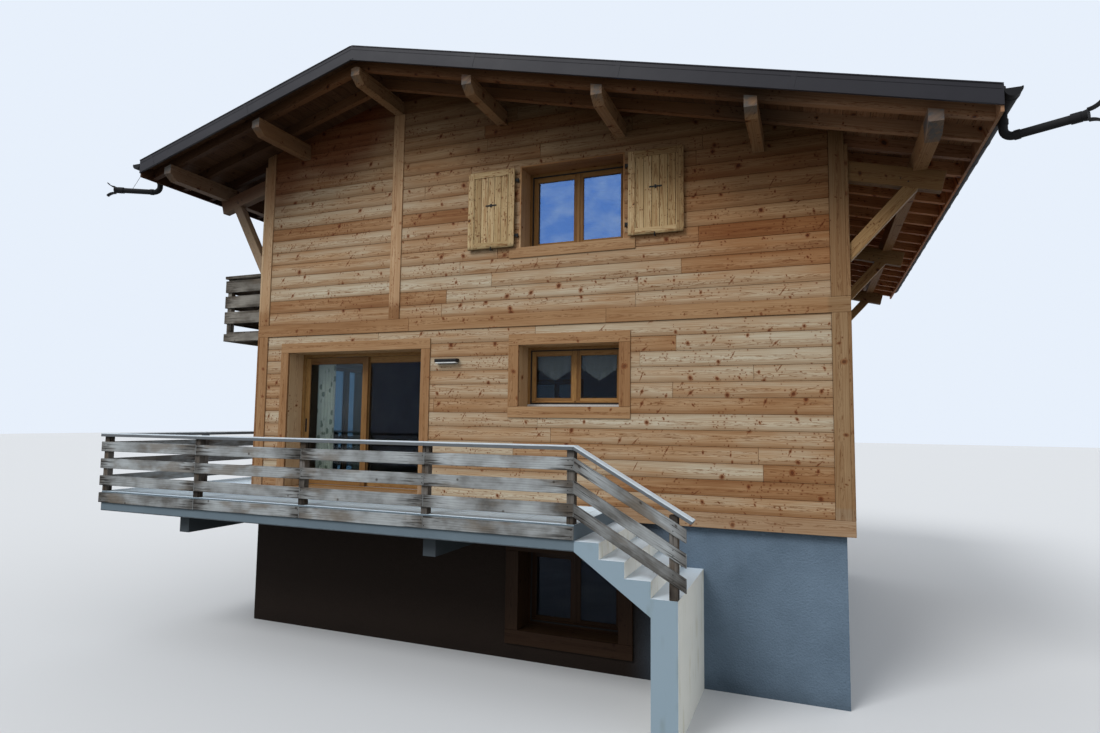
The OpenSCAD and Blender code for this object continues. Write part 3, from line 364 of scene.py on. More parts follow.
def painted_shade_and_weather(f, weather_and_shade=1.0, dust_and_shade=1.0):
    """Under the eaves the timber stays browner, less bleached by sun, and painted shade darkens it
    close under the roof and low over the cellar.
    """
    x, y, z = f.place()
    low = under_roof(x, z) + f.noise((x * 0.8, y, z), 1.3, 3.0) * 0.7 - 0.35
    # Browner high on the wall: partly less sun-bleaching, partly painted shade under the overhang.
    wide = low.smooth(2.6, 1.2) * (x.smooth(-3.8, -1.2) * 0.55 + 0.45)
    # Darkest close under the roof: painted shade.
    near = low.smooth(1.35, 0.50)
    # Low on the front, over the cellar: painted shade under the terrace.
    cellar_shade = z.smooth(1.90, 1.75) * y.smooth(-3.0, -3.3)
    brown = f.mix(x.smooth(-1.5, -2.5), (0.48, 0.43, 0.40), (0.31, 0.130, 0.062))
    return lambda colour: (colour.tint(wide * weather_and_shade, (0.76, 0.61, 0.48))
                           .tint(wide * x.smooth(1.0, 3.0) * weather_and_shade, (1.06, 0.95, 0.84))
                           .tint(near * (dust_and_shade * 0.95), brown)
                           .tint(cellar_shade * 0.97, (0.06, 0.04, 0.03)))


LARCH = ((0.0, (0.465, 0.405, 0.305)), (0.28, (0.415, 0.325, 0.222)),
         (0.55, (0.365, 0.238, 0.135)), (0.80, (0.315, 0.182, 0.090)), (1.0, (0.255, 0.128, 0.056)))

larch = Finish("larch_boards", "wall_timber")
u, v, number, _ = board_sockets(larch)
# The boards get the eaves' weathering and painted shade, and the cellar's painted shade.
colour, relief = timber(larch, u, v, number, LARCH, (0.095, 0.028, 0.010), 1.15,
                        painted_shade_and_weather(larch), knot_r=0.020, crown_tone_and_shade=0.60, whiskers=0.8)
larch.set(Base_Color=colour, Roughness=relief * -0.08 + 0.62)
larch.bump(relief, 0.0012)
print("larch boards:", len(larch.tree.nodes), "nodes")

# %% [markdown]
# The smooth trim is the same timber planed from cleaner stock: redder, more even, few knots.
# The window frames have a brown stain that hides most of the grain, and the shutters are
# pale, with a yellow stain. All come from the same function, which also lays the eaves'
# weathering and painted shade and the cellar's painted shade, and each then gets what only it
# has: a paler left side, rot at the shutters' edges, beams washed grey and painted dark close
# under the roof as shade.

# %% Trim, frames and shutters
def shades(*colours):
    """Colours spread evenly over a ramp, the palest first."""
    return [(i / (len(colours) - 1), colour) for i, colour in enumerate(colours)]


# Each stained finish gets the eaves' weathering and painted shade and the cellar's painted shade;
# the last two arguments weigh the high wall's part and the part close under the roof.
def stained(name, slot, tones, knot, knots, rough, contrast=1.0, ring=1.0, knot_r=0.016,
            weather_and_shade=1.0, dust_and_shade=1.0):
    f = Finish(name, slot)
    u, v, number, _ = board_sockets(f)
    f.colour, relief = timber(f, u, v, number, tones, knot, knots, painted_shade_and_weather(f, weather_and_shade, dust_and_shade),
                              ring, contrast, knot_r)
    f.set(Base_Color=f.colour, Roughness=relief * -0.06 + rough)
    f.bump(relief, 0.0008)
    return f


trim = stained("larch_trim", "trim_timber",
               shades((0.355, 0.220, 0.115), (0.278, 0.150, 0.068), (0.200, 0.095, 0.039)),
               (0.12, 0.045, 0.018), 0.25, 0.58, 0.9, weather_and_shade=0.0, dust_and_shade=0.55)
x, y, z = trim.place()
corner = x.smooth(4.24, 4.30) * z.smooth(2.10, 2.20)
pale_side = x.smooth(-1.6, -1.7) * y.smooth(-3.9, -4.0) * z.smooth(4.9, 5.1)
pale_side = pale_side * (1.0 - x.smooth(-4.20, -4.25) * 0.5)
trim.set(Base_Color=trim.colour.tint(corner, (0.80, 0.84, 0.86))
         .tint(pale_side, (1.80, 2.30, 3.00)).tint(z.smooth(2.30, 2.26), (1.0, 1.12, 1.35)))

frames = stained("stained_frames", "frame_timber",
                 shades((0.31, 0.178, 0.066), (0.23, 0.122, 0.042), (0.15, 0.074, 0.026)),
                 (0.10, 0.035, 0.012), 0, 0.38, 0.7, 2.0, weather_and_shade=0.3, dust_and_shade=0.5)

shutter_wood = stained("shutter_timber", "shutter_timber",
                       shades((0.54, 0.420, 0.248), (0.41, 0.300, 0.155), (0.27, 0.180, 0.086)),
                       (0.045, 0.022, 0.012), 1.1, 0.55, 1.3, knot_r=0.014,
                       weather_and_shade=0.3, dust_and_shade=0.75)
x, y, z = shutter_wood.place()
rot = shutter_wood.noise((x * 9.0, y, z * 5.0), 1.0, 4.0, 0.65)
rim = (z + rot * 0.07).smooth(5.800, 5.735).high((z - rot * 0.05).smooth(6.812, 6.855) * 0.5)
damp = rot.smooth(0.56, 0.72) * 0.35
shutter_wood.set(Base_Color=shutter_wood.colour.tint(rim.high(damp) * 0.85, (0.22, 0.21, 0.16)))

lining = stained("lining_boards", "trim_timber",
                 shades((0.56, 0.395, 0.235), (0.48, 0.315, 0.170), (0.39, 0.235, 0.115)),
                 (0.12, 0.05, 0.02), 0.3, 0.6, 0.8)

beam = stained("planed_beams", "beam_timber",
               shades((0.37, 0.250, 0.122), (0.31, 0.200, 0.093), (0.24, 0.145, 0.062)),
               (0.07, 0.03, 0.014), 0.7, 0.6, knot_r=0.022, weather_and_shade=0.3)
x, _, z = beam.place()
# On the left brackets: grey where the weather washes them, dark close under the roof as painted
# shade.
washed_and_shaded = beam.mix(under_roof(x, z).smooth(0.50, 0.85), (0.06, 0.045, 0.035), (0.27, 0.215, 0.17))
beam.set(Base_Color=beam.colour.cover(x.smooth(-4.4, -4.6) * 0.5, washed_and_shaded))
print("finished:", [f.mat.name for f in (trim, frames, shutter_wood, lining, beam)])

# %% [markdown]
# Boards left to the weather lose their colour: rain and sun wash the surface to silver grey,
# darker where water stands, at the ends and round the posts, and the soft rings wear away
# into a ribbed surface.

# %% Weathered boards
def weathered(name, pale, mid, dark, stain):
    f = Finish(name, "rail_timber")
    u, v, number, half = board_sockets(f)
    r1, r2, r3 = f.chance(number)
    x = u + r1 * 31.0
    y = v + r2 * 17.0
    v = v - v.math("ROUND")
    to_end = half - abs(u)
    cloud = f.noise((x * 2.2, y * 3.5, r3 * 5.0), detail=4.0, rough=0.55)
    streak = f.noise((x * 1.1, y * 80.0, r2 * 5.0), detail=3.0, rough=0.6)
    blot = f.noise((x * 1.6, y * 4.0, r1 * 9.0), detail=4.0, rough=0.55)
    split = f.noise((x * 2.2, y * 48.0, r1 * 3.0), detail=2.0, rough=0.6)
    split = split.smooth(0.55, 0.60) * to_end.smooth(0.45, 0.10)
    lines = (y * 34.0 + f.noise((x * 0.8, y * 6.0), detail=2.0) * 2.6) * math.tau
    lines = (lines.math("SINE") * 0.5 + 0.5) ** 3.0
    dx, dy, r, keep, _ = f.scatter(x, y, 1.6, 4.0)
    eye = (dx * dx + dy * dy).math("SQRT") - cloud * 0.008
    eye = eye.smooth(r * 0.012 + 0.012, 0.003) * (keep < 0.45)
    dirt = abs(v).smooth(0.058, 0.072) * cloud.smooth(0.62, 0.40)
    ends = (to_end + cloud * 0.30 - 0.15).smooth(0.26, 0.0)
    tone = cloud * 1.75 - 0.68 + r2 * 0.30
    f.colour = (f.ramp(tone, (0.0, dark), (0.35, mid), (0.75, pale))
                .cover(blot.smooth(0.50, 0.66) * 0.65, stain)
                .tint(ends * 0.70, (0.30, 0.26, 0.23))
                .tint(split * 0.85, (0.13, 0.11, 0.10))
                .tint(eye * 0.8, (0.20, 0.16, 0.13))
                .tint(streak.smooth(0.40, 0.70) * 0.26, (0.50, 0.48, 0.46))
                .tint(lines * 0.20, (0.50, 0.47, 0.45))
                .tint(dirt * 0.6, (0.35, 0.32, 0.30)))
    f.set(Base_Color=f.colour, Roughness=streak * 0.2 + 0.66)
    f.bump(streak * 0.7 - lines * 0.5, 0.0018)
    return f


grey = weathered("weathered_boards", (0.40, 0.430, 0.445), (0.275, 0.290, 0.295),
                 (0.115, 0.112, 0.106), (0.155, 0.126, 0.096))
z = grey.place()[2]
grey.set(Base_Color=grey.colour.tint(z.smooth(4.2, 4.4), (0.80, 0.70, 0.60)))
grey_post = weathered("weathered_posts", (0.20, 0.19, 0.18), (0.13, 0.115, 0.10),
                      (0.05, 0.042, 0.036), (0.10, 0.07, 0.045))
print("weathered boards:", len(grey.tree.nodes), "nodes")

# %% [markdown]
# A plank is the piece that this house is made of, so it gets its own helper. It starts from
# bmesh's cube, is stretched to its two corners, and gets the grain coordinates of each face
# measured along and across the grain from its middle, its own number and its half length.
# The edges of a whole batch are broken with one bevel, as a planer leaves them.

# %% Planks
AXES = {"x": Vector((1, 0, 0)), "y": Vector((0, 1, 0)), "z": Vector((0, 0, 1))}
numbers = count(1)


def batch():
    bm = bmesh.new()
    bm.loops.layers.uv.new("grain")
    bm.faces.layers.float.new("board")
    bm.faces.layers.float.new("half")
    return bm


def block(bm, x0, x1, y0, y1, z0, z1, turn=None, mark=None):
    """A cuboid between two corners, marked while it is unturned, then turned or moved."""
    size = Vector((x1 - x0, y1 - y0, z1 - z0))
    place = Matrix.Translation(Vector((x0 + x1, y0 + y1, z0 + z1)) / 2)
    made = bmesh.ops.create_cube(bm, size=1, matrix=Matrix.Diagonal((*size, 1)))["verts"]
    if mark:
        mark(made, size)
    bmesh.ops.transform(bm, matrix=(turn @ place if turn else place), verts=made)
    return made


def plank(bm, x0, x1, y0, y1, z0, z1, grain="x", turn=None):
    """A block of timber with its number, its half length and its grain coordinates."""
    number, along = next(numbers) * 0.731, AXES[grain]

    def mark(made, size):
        uv = bm.loops.layers.uv["grain"]
        for face in {f for vert in made for f in vert.link_faces}:
            n = face.normal
            across = along.cross(n)
            for loop in face.loops:
                co = loop.vert.co
                if across.length < 0.5:
                    loop[uv].uv = (co.dot(Vector((0.02, 0.02, 0.02))), co.dot(n.yzx))
                else:
                    loop[uv].uv = (co.dot(along), co.dot(across) + round(n.x * 3 + n.y * 2))
            face[bm.faces.layers.float["board"]] = number
            face[bm.faces.layers.float["half"]] = size.dot(along) / 2

    return block(bm, x0, x1, y0, y1, z0, z1, turn, mark)


def ring(bm, u0, u1, z0, z1, w, y0, y1, turn=None):
    """Four planks round an opening, the upright ones first."""
    plank(bm, u0, u0 + w, y0, y1, z0, z1, "z", turn)
    plank(bm, u1 - w, u1, y0, y1, z0, z1, "z", turn)
    plank(bm, u0 + w, u1 - w, y0, y1, z0, z0 + w, "x", turn)
    plank(bm, u0 + w, u1 - w, y0, y1, z1 - w, z1, "x", turn)


def pin(bm, at, axis, radius, depth, segments=8):
    """A round bar along Y or X: a screw's head, a peg or a bead."""
    turn = Matrix.Rotation(math.pi / 2, 4, "X" if axis == "y" else "Y")
    bmesh.ops.create_cone(bm, cap_ends=True, segments=segments, radius1=radius, radius2=radius,
                          depth=depth, matrix=Matrix.Translation(at) @ turn)


def piece(bm, name, finish, body="house", edge=0.003, round_up=1):
    """Breaks the edges, makes the object and lets it ride on its body."""
    if edge:
        bmesh.ops.bevel(bm, geom=bm.edges[:], offset=edge, offset_type="OFFSET",
                        segments=round_up, profile=0.5, affect="EDGES", material=-1,
                        clamp_overlap=True)
    mesh = bpy.data.meshes.new(name)
    bm.to_mesh(mesh)
    bm.free()
    obj = bpy.data.objects.new(name, mesh)
    bpy.context.scene.collection.objects.link(obj)
    mesh.materials.append(finish.mat)
    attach(obj, body)
    print(name, len(mesh.polygons), "faces")
    return obj


print("helpers: batch, block, plank, ring, pin and piece")

# %% [markdown]
# Each wall is described once, as seen from outside: along the wall, inwards, and up. A matrix
# for each side of the house then carries boards, linings and window frames to their wall.
# The openings are the CAD's, in metres: where one starts along its wall, its foot, its width
# and height, and what goes round it.

# %% Walls and openings
HALF_W, HALF_D = 4.5, 4.0
BOARD_T, PROUD, REVEAL, LINING, SURROUND = 0.024, 0.018, 0.332, 0.020, 0.155
SKIRT_Z, SKIRT_H, BAND_Z, BAND_H = 1.960, 0.185, 4.570, 0.190
SKIRT_TOP, BAND_TOP = SKIRT_Z + SKIRT_H, BAND_Z + BAND_H
GROUND_Z, UPPER_Z = 2.150, 4.780
CORNER_W, SILL_PAST, SILL_H, PLINTH_IN = 0.215, 0.170, 0.150, 0.056
OUT_W, OUT_D = HALF_W + PROUD, HALF_D + PROUD
IN_W, IN_D = HALF_W - BOARD_T, HALF_D - BOARD_T
SIDE = {
    "front": Matrix.Translation((0, -HALF_D, 0)),
    "back": Matrix.Translation((0, HALF_D, 0)) @ Matrix.Rotation(math.pi, 4, "Z"),
    "left": Matrix.Translation((-HALF_W, 0, 0)) @ Matrix.Rotation(-math.pi / 2, 4, "Z"),
    "right": Matrix.Translation((HALF_W, 0, 0)) @ Matrix.Rotation(math.pi / 2, 4, "Z"),
}
LOW_Z, LOW_W, LOW_H = 3.444, 1.455, 0.858
HIGH_Z, HIGH_W, HIGH_H = 5.700, 1.505, 1.169
DOOR_H = 2.100
OPENINGS = {
    "front": [(-3.853, GROUND_Z, 2.507, 2.146, "door"), (0.246, LOW_Z, LOW_W, LOW_H, "framed"),
              (0.243, HIGH_Z, HIGH_W, HIGH_H, "bare")],
    "left": [(1.4725, GROUND_Z, LOW_W, DOOR_H, "door"), (1.2225, UPPER_Z, LOW_W, DOOR_H, "door")],
    "right": [(s * 2.1 - LOW_W / 2, z, LOW_W, LOW_H, "framed")
              for s in (-1, 1) for z in (LOW_Z, 5.450)],
    "back": [(s * 2.1 - LOW_W / 2, LOW_Z, LOW_W, LOW_H, "framed") for s in (-1, 1)]
    + [(s * 2.1 - HIGH_W / 2, HIGH_Z, HIGH_W, HIGH_H, "bare") for s in (-1, 1)],
}
BASEMENT_WINDOW = (0.270, 0.400, 1.420, 1.060)
BASEMENT_SIDE = Matrix.Translation((0, PLINTH_IN, 0)) @ SIDE["front"]
print("openings:", {side: len(holes) for side, holes in OPENINGS.items()})

# %% [markdown]
# The boarding is laid course by course, about 0.2 m high, with butt joints at random lengths.
# Boards are cut round openings, corner boards and purlins; a Boolean modifier with box
# cutters does that for a whole wall at once, and the gable's slope is one more cutter.

# %% Boarding
JOINT, BED, SHORTEST = 0.0015, 0.0012, 0.7
PURLINS = [-5.45, -3.65, -1.85, -0.0675, 1.715, 3.4975, 5.28]
BOARDS_TOP, RAFTER_TOP, PURLIN_TOP, PURLIN_LOW, PURLIN_HALF = 0.110, 0.110, 0.260, 0.480, 0.0705
RIDGE_TRIM_HALF, WALL_TOP_GAP, FAR, SKY_Z = 0.095, 0.004, 6, 9.5


def courses(z0, height, many):
    return [(z0 + i * height, z0 + (i + 1) * height) for i in range(many)]


def drawn(bm, outline, y0, y1):
    """A shape drawn in X and Z and extruded along Y."""
    face = bm.faces.new([bm.verts.new((x, y0, z)) for x, z in outline])
    out = bmesh.ops.extrude_face_region(bm, geom=[face])["geom"]
    bmesh.ops.translate(bm, vec=(0, y1 - y0, 0),
                        verts=[g for g in out if isinstance(g, bmesh.types.BMVert)])


def boarding(side, reach):
    """Boards one side of the house; returns the piece, and cutters for its openings."""
    bm, tool, turn = batch(), bmesh.new(), SIDE[side]
    for z0, z1 in LOWER + UPPER:
        start = -reach
        while start < reach:
            length = random.uniform(2.0, 5.0)
            end = reach if reach - start - length < SHORTEST else start + length
            plank(bm, start, end - JOINT, 0, BOARD_T, z0 + BED, z1 - BED, "x", turn)
            start = end
    for u0, z, w, h, kind in OPENINGS[side]:
        pad = LINING if kind == "bare" else SURROUND
        low = z - (0.003 if kind == "door" else pad)
        block(tool, u0 - pad, u0 + w + pad, -0.1, 0.1, low, z + h + pad, turn)
        if kind == "bare":
            block(tool, u0 - SILL_PAST, u0 + w + SILL_PAST, -0.1, 0.1, z - SILL_H, z + 0.001,
                  turn)
    return piece(bm, side + "_boarding", larch, edge=0.0045), tool


def cut(obj, tool_bm):
    """Takes the cutters away from a piece and keeps the result as its mesh."""
    bmesh.ops.recalc_face_normals(tool_bm, faces=tool_bm.faces[:])
    mesh = bpy.data.meshes.new("cutter")
    tool_bm.to_mesh(mesh)
    tool_bm.free()
    tool = bpy.data.objects.new("cutter", mesh)
    bpy.context.scene.collection.objects.link(tool)
    mod = obj.modifiers.new("cut", "BOOLEAN")
    mod.operation, mod.solver, mod.object, mod.use_self = "DIFFERENCE", "EXACT", tool, True
    seen = obj.evaluated_get(bpy.context.evaluated_depsgraph_get())
    new, old = bpy.data.meshes.new_from_object(seen), obj.data
    obj.modifiers.remove(mod)
    new.name = obj.name
    obj.data = new
    bpy.data.meshes.remove(old)
    bpy.data.objects.remove(tool)
    print(obj.name, "after the cut", len(new.polygons), "faces")


LOWER = courses(SKIRT_TOP, (BAND_Z - SKIRT_TOP) / 12, 12)
UPPER = courses(BAND_TOP, 0.2021, 18)
random.seed(7)
for side, y in (("front", -HALF_D), ("back", HALF_D)):
    wall, tool = boarding(side, OUT_W - CORNER_W)
    slope = [(x, roof_z(x) - BOARDS_TOP) for x in (-FAR, RIDGE_X, FAR)]
    drawn(tool, slope + [(FAR, SKY_Z), (-FAR, SKY_Z)], y - 0.2, y + 0.2)
    for x in PURLINS[1:6]:
        block(tool, x - PURLIN_HALF, x + PURLIN_HALF, y - 0.15, y + 0.15,
              roof_z(x) - PURLIN_LOW, roof_z(x) - PURLIN_TOP)
    if side == "front":
        block(tool, RIDGE_X - RIDGE_TRIM_HALF, RIDGE_X + RIDGE_TRIM_HALF, y - 0.1, y + 0.1,
              BAND_TOP - 0.01, RIDGE_Z - PURLIN_LOW)
    cut(wall, tool)

for side, x in (("left", -HALF_W), ("right", HALF_W)):
    wall, tool = boarding(side, OUT_D - CORNER_W)
    block(tool, -9, 9, -0.2, 0.2, roof_z(x) - PURLIN_TOP - WALL_TOP_GAP, SKY_Z, SIDE[side])
    cut(wall, tool)

# %% [markdown]
# The trim stands 18 mm in front of the boarding. A corner is two boards, the side one lapping
# the front one, which shows as a narrow edge of another tone. The band and the skirt run round
# the house in lengths of about three metres, and the skirt is cut down under the doors.

# %% Trim boards
LONGEST, TRIM_GAP, DOOR_FOOT = 3.6, 0.001, 2.128
BELTS = [(BAND_Z, BAND_TOP, {"left": (-2.6975, -1.2025, BAND_TOP)}),
         (SKIRT_Z, SKIRT_TOP, {"front": (-3.873, -1.326, DOOR_FOOT),
                               "left": (-2.9475, -1.4525, DOOR_FOOT)})]


def pair(side, a, b):
    """Two distances from the middle as two places on one side of it, the smaller first."""
    return sorted((side * a, side * b))


def run(a, b, lay):
    """Splits a length into boards that are not too long, and lays each one."""
    many = max(1, math.ceil((b - a) / LONGEST))
    cuts = [a + (b - a) * i / many for i in range(many + 1)]
    for i in range(1, many):
        cuts[i] += random.uniform(-0.5, 0.5)
    for p, q in zip(cuts, cuts[1:]):
        lay(p + TRIM_GAP, q - TRIM_GAP)


bm = batch()
for sx in (-1, 1):
    head = roof_z(sx * OUT_W) - PURLIN_TOP - WALL_TOP_GAP
    for sy in (-1, 1):
        for z0, z1 in ((SKIRT_TOP, BAND_Z), (BAND_TOP, head)):
            zs = z0 + TRIM_GAP, z1 - TRIM_GAP
            made = plank(bm, *pair(sx, IN_W, OUT_W - CORNER_W), *pair(sy, OUT_D, IN_D), *zs, "z")
            for vert in made:
                if z1 == head and vert.co.z > z0 + 0.1:
                    vert.co.z = roof_z(vert.co.x) - RAFTER_TOP - 0.003
            plank(bm, *pair(sx, OUT_W, IN_W), *pair(sy, OUT_D, OUT_D - CORNER_W), *zs, "z")
for z0, z1, doorways in BELTS:
    for side, s in (("front", -1), ("back", 1), ("left", -1), ("right", 1)):
        along_x = side in ("front", "back")
        end = OUT_W if along_x else IN_D
        spans = [(-end, end, z1)]
        if side in doorways:
            a, b, top = doorways[side]
            spans = [(-end, a, z1), (a, b, top), (b, end, z1)]
        for a, b, top in spans:
            if along_x:
                run(a, b, lambda p, q: plank(bm, p, q, *pair(s, OUT_D, IN_D), z0, top, "x"))
            else:
                run(a, b, lambda p, q: plank(bm, *pair(s, OUT_W, IN_W), p, q, z0, top, "y"))
plank(bm, RIDGE_X - RIDGE_TRIM_HALF, RIDGE_X + RIDGE_TRIM_HALF, -OUT_D, -IN_D,
      BAND_TOP + TRIM_GAP, RIDGE_Z - PURLIN_LOW - TRIM_GAP, "z")
trims = piece(bm, "trim_boards", trim, edge=0.004)
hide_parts("corner_boards", "band_board", "skirt_board", "ridge_trim")

# %% [markdown]
# Openings are lined with paler boards as deep as the insulated wall, with flat boards round
# them. Head and sill boards run past the side boards, so the joints are horizontal. The
# shuttered windows have a wide sill board and no side boards, because the shutters fold there.

# %% Surrounds and linings
boards, linings = batch(), batch()


def surround(turn, u0, z0, w, h, kind, width=SURROUND):
    u1, z1 = u0 + w, z0 + h
    face = -PROUD, BOARD_T
    if kind == "bare":
        plank(boards, u0 - SILL_PAST, u1 + SILL_PAST, *face, z0 - SILL_H, z0, "x", turn)
    else:
        plank(boards, u0 - width, u1 + width, *face, z1 + 0.001, z1 + width, "x", turn)
        for a in (u0 - width, u1):
            plank(boards, a, a + width, *face, z0 + 0.001, z1, "z", turn)
    if kind == "framed":
        plank(boards, u0 - width, u1 + width, *face, z0 - width, z0 - 0.001, "x", turn)
    start = 0 if kind == "bare" else BOARD_T + 0.0005
    for a in (u0 - LINING, u1):
        plank(linings, a, a + LINING, start, REVEAL, z0, z1, "z", turn)
    for a in (z1,) if kind == "door" else (z1, z0 - LINING):
        plank(linings, u0 - LINING, u1 + LINING, start, REVEAL, a, a + LINING, "x", turn)


for side, holes in OPENINGS.items():
    for hole in holes:
        surround(SIDE[side], *hole)
surround(BASEMENT_SIDE, *BASEMENT_WINDOW, "framed", 0.190)
surround_boards = piece(boards, "surround_boards", trim, edge=0.004)
piece(linings, "lining_boards", lining, edge=0.002)
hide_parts("window_surrounds", "door_surround")

# %% [markdown]
# A casement is a frame with two sashes that meet in the middle. Small things make it read as
# joinery: beads round the glass, a dark gasket, a black strip of painted shade in the gap
# between frame and sashes, a cover strip where the sashes meet and a drip bar at the foot.

# %% Casements
FRAME_W, FRAME_D, SASH_W, SASH_BACK = 0.055, 0.080, 0.062, 0.012
BEAD_W, GASKET_W, STRIP_HALF = 0.012, 0.005, 0.019

rubber = speckled("black_gaskets", "frame_timber", 90.0, 3.0, (0.3, (0.012, 0.012, 0.013)),
                  (0.8, (0.03, 0.03, 0.03)), Roughness=0.7)
rubber.bump(rubber.grain, 0.0004)
rain_rail = speckled("rain_rail_metal", "frame_timber", 60.0, 3.0, (0.3, (0.36, 0.36, 0.36)),
                     (0.7, (0.45, 0.45, 0.44)), Roughness=0.45)
joinery, gaskets, rails = batch(), batch(), batch()


def casement(turn, u0, z0, w, h):
    u1, z1, mid = u0 + w, z0 + h, u0 + w / 2
    front, y1 = REVEAL, REVEAL + SASH_BACK
    ring(joinery, u0 - LINING, u1 + LINING, z0 - LINING, z1 + LINING, FRAME_W + LINING, front,
         front + FRAME_D, turn)
    # A black ring round the frame's inner edge stands for the shade in the gap between frame and
    # sashes: painted shade.
    e = FRAME_W - 0.014
    ring(gaskets, u0 + e, u1 - e, z0 + e, z1 - e, 0.017, front - 0.0006, front + 0.010, turn)
    if z0 > 2:
        plank(rails, u0 + 0.004, u1 - 0.004, front - 0.020, front - 0.001, z0 + 0.008,
              z0 + 0.038, "x", turn)
    c, d = z0 + FRAME_W, z1 - FRAME_W
    for a, b in ((u0 + FRAME_W, mid), (mid, u1 - FRAME_W)):
        ring(joinery, a + 0.002, b - 0.001, c + 0.002, d - 0.002, SASH_W, y1,
             front + FRAME_D - SASH_BACK, turn)
        s = SASH_W
        ring(joinery, a + s, b - s, c + s, d - s, BEAD_W, y1 + 0.003, y1 + 0.015, turn)
        s = SASH_W + 0.010
        ring(gaskets, a + s, b - s, c + s, d - s, GASKET_W, y1 + 0.0135, y1 + 0.0155, turn)
        plank(joinery, a + 0.01, b - 0.01, front - 0.006, y1 + 0.004, c + 0.010, c + 0.034, "x",
              turn)
    plank(joinery, mid - STRIP_HALF, mid + STRIP_HALF, front + 0.003, front + 0.013, c + 0.036,
          d - 0.004, "z", turn)


for side, holes in OPENINGS.items():
    for *hole, kind in holes:
        if side != "front" or kind != "door":
            casement(SIDE[side], *hole)
casement(BASEMENT_SIDE, *BASEMENT_WINDOW)
window_frames = piece(joinery, "window_frames", frames, edge=0.0025)
piece(gaskets, "window_gaskets", rubber, edge=0)
piece(rails, "window_rain_rails", rain_rail, edge=0.004, round_up=2)
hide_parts("lower_window", "upper_window", "basement_window", "side_windows")

# %% [markdown]
# The terrace door is a wide frame with a leaf that slides on a rail behind the front edge and
# a fixed leaf behind it. The sliding leaf's boards ride on its own body, so that they move
# with the joint. The pull handle is a rounded plate with a bar.

# %% Terrace door
STILE, LEAF_T = 0.092, 0.038
DOOR_L, DOOR_R, DOOR_Z0, DOOR_Z1 = -3.873, -1.326, 2.150, 4.316
DOOR_Y, JAMB, THRESHOLD = (-3.668, -3.568), 0.070, 0.024

iron = speckled("black_iron", "ironwork", 45.0, 4.0, (0.3, (0.010, 0.010, 0.011)),
                (0.8, (0.030, 0.029, 0.028)))
iron.set(Roughness=iron.grain * 0.3 + 0.35)
iron.bump(iron.grain, 0.0006)
door_rail = speckled("door_rail_metal", "ironwork", 60.0, 2.0, (0.3, (0.32, 0.32, 0.33)),
                     (0.7, (0.45, 0.45, 0.46)), Metallic=1.0, Roughness=0.35)


def leaf(bm, beads, u0, u1, y0, z0, z1):
    s = STILE
    ring(bm, u0, u1, z0, z1, s, y0, y0 + LEAF_T)
    ring(bm, u0 + s, u1 - s, z0 + s, z1 - s, 0.014, y0 + 0.001, y0 + 0.007)
    s = STILE + 0.012
    ring(beads, u0 + s, u1 - s, z0 + s, z1 - s, 0.006, y0 + 0.0055, y0 + 0.0075)


bm, beads = batch(), batch()
leaf(bm, beads, -3.796, -2.550, -3.660, 2.1813, 4.239)
sliding = piece(bm, "sliding_leaf_boards", frames, "terrace_door_leaf", 0.0025)
piece(beads, "sliding_leaf_gaskets", rubber, "terrace_door_leaf", 0)
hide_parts("sliding_leaf")

bm, beads = batch(), batch()
inner = DOOR_L + JAMB, DOOR_R - JAMB
leaf(bm, beads, -2.642, inner[1], -3.614, DOOR_Z0 + THRESHOLD, DOOR_Z1 - JAMB)
for x in (DOOR_L, inner[1]):
    plank(bm, x, x + JAMB, *DOOR_Y, DOOR_Z0, DOOR_Z1, "z")
plank(bm, *inner, *DOOR_Y, DOOR_Z1 - JAMB, DOOR_Z1, "x")
plank(bm, *inner, *DOOR_Y, DOOR_Z0, DOOR_Z0 + THRESHOLD, "x")
door_boards = piece(bm, "door_frame_boards", frames, edge=0.0025)
piece(beads, "fixed_leaf_gaskets", rubber, edge=0)
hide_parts("fixed_leaf", "door_frame")

bm = bmesh.new()
block(bm, *inner, -3.649, -3.633, 2.173, 2.181)
piece(bm, "door_rail", door_rail, edge=0.001)
bm = bmesh.new()
block(bm, -3.767, -3.735, -3.664, -3.6595, 3.02, 3.24)
block(bm, -3.757, -3.745, -3.6665, -3.6635, 3.06, 3.20)
piece(bm, "door_pull", iron, "terrace_door_leaf", 0.0015)

# %% [markdown]
# Glass shows two things at once: what is behind it, dimmed, and the sky in front of it. The
# Principled shader shows the first with full transmission, and a second one, a painted reflection
# in two tones of sky, is mixed in where the real panes face the open sky. Side panes get a
# painted blue for the hills seen through them, and back panes are painted nearly black as shade.

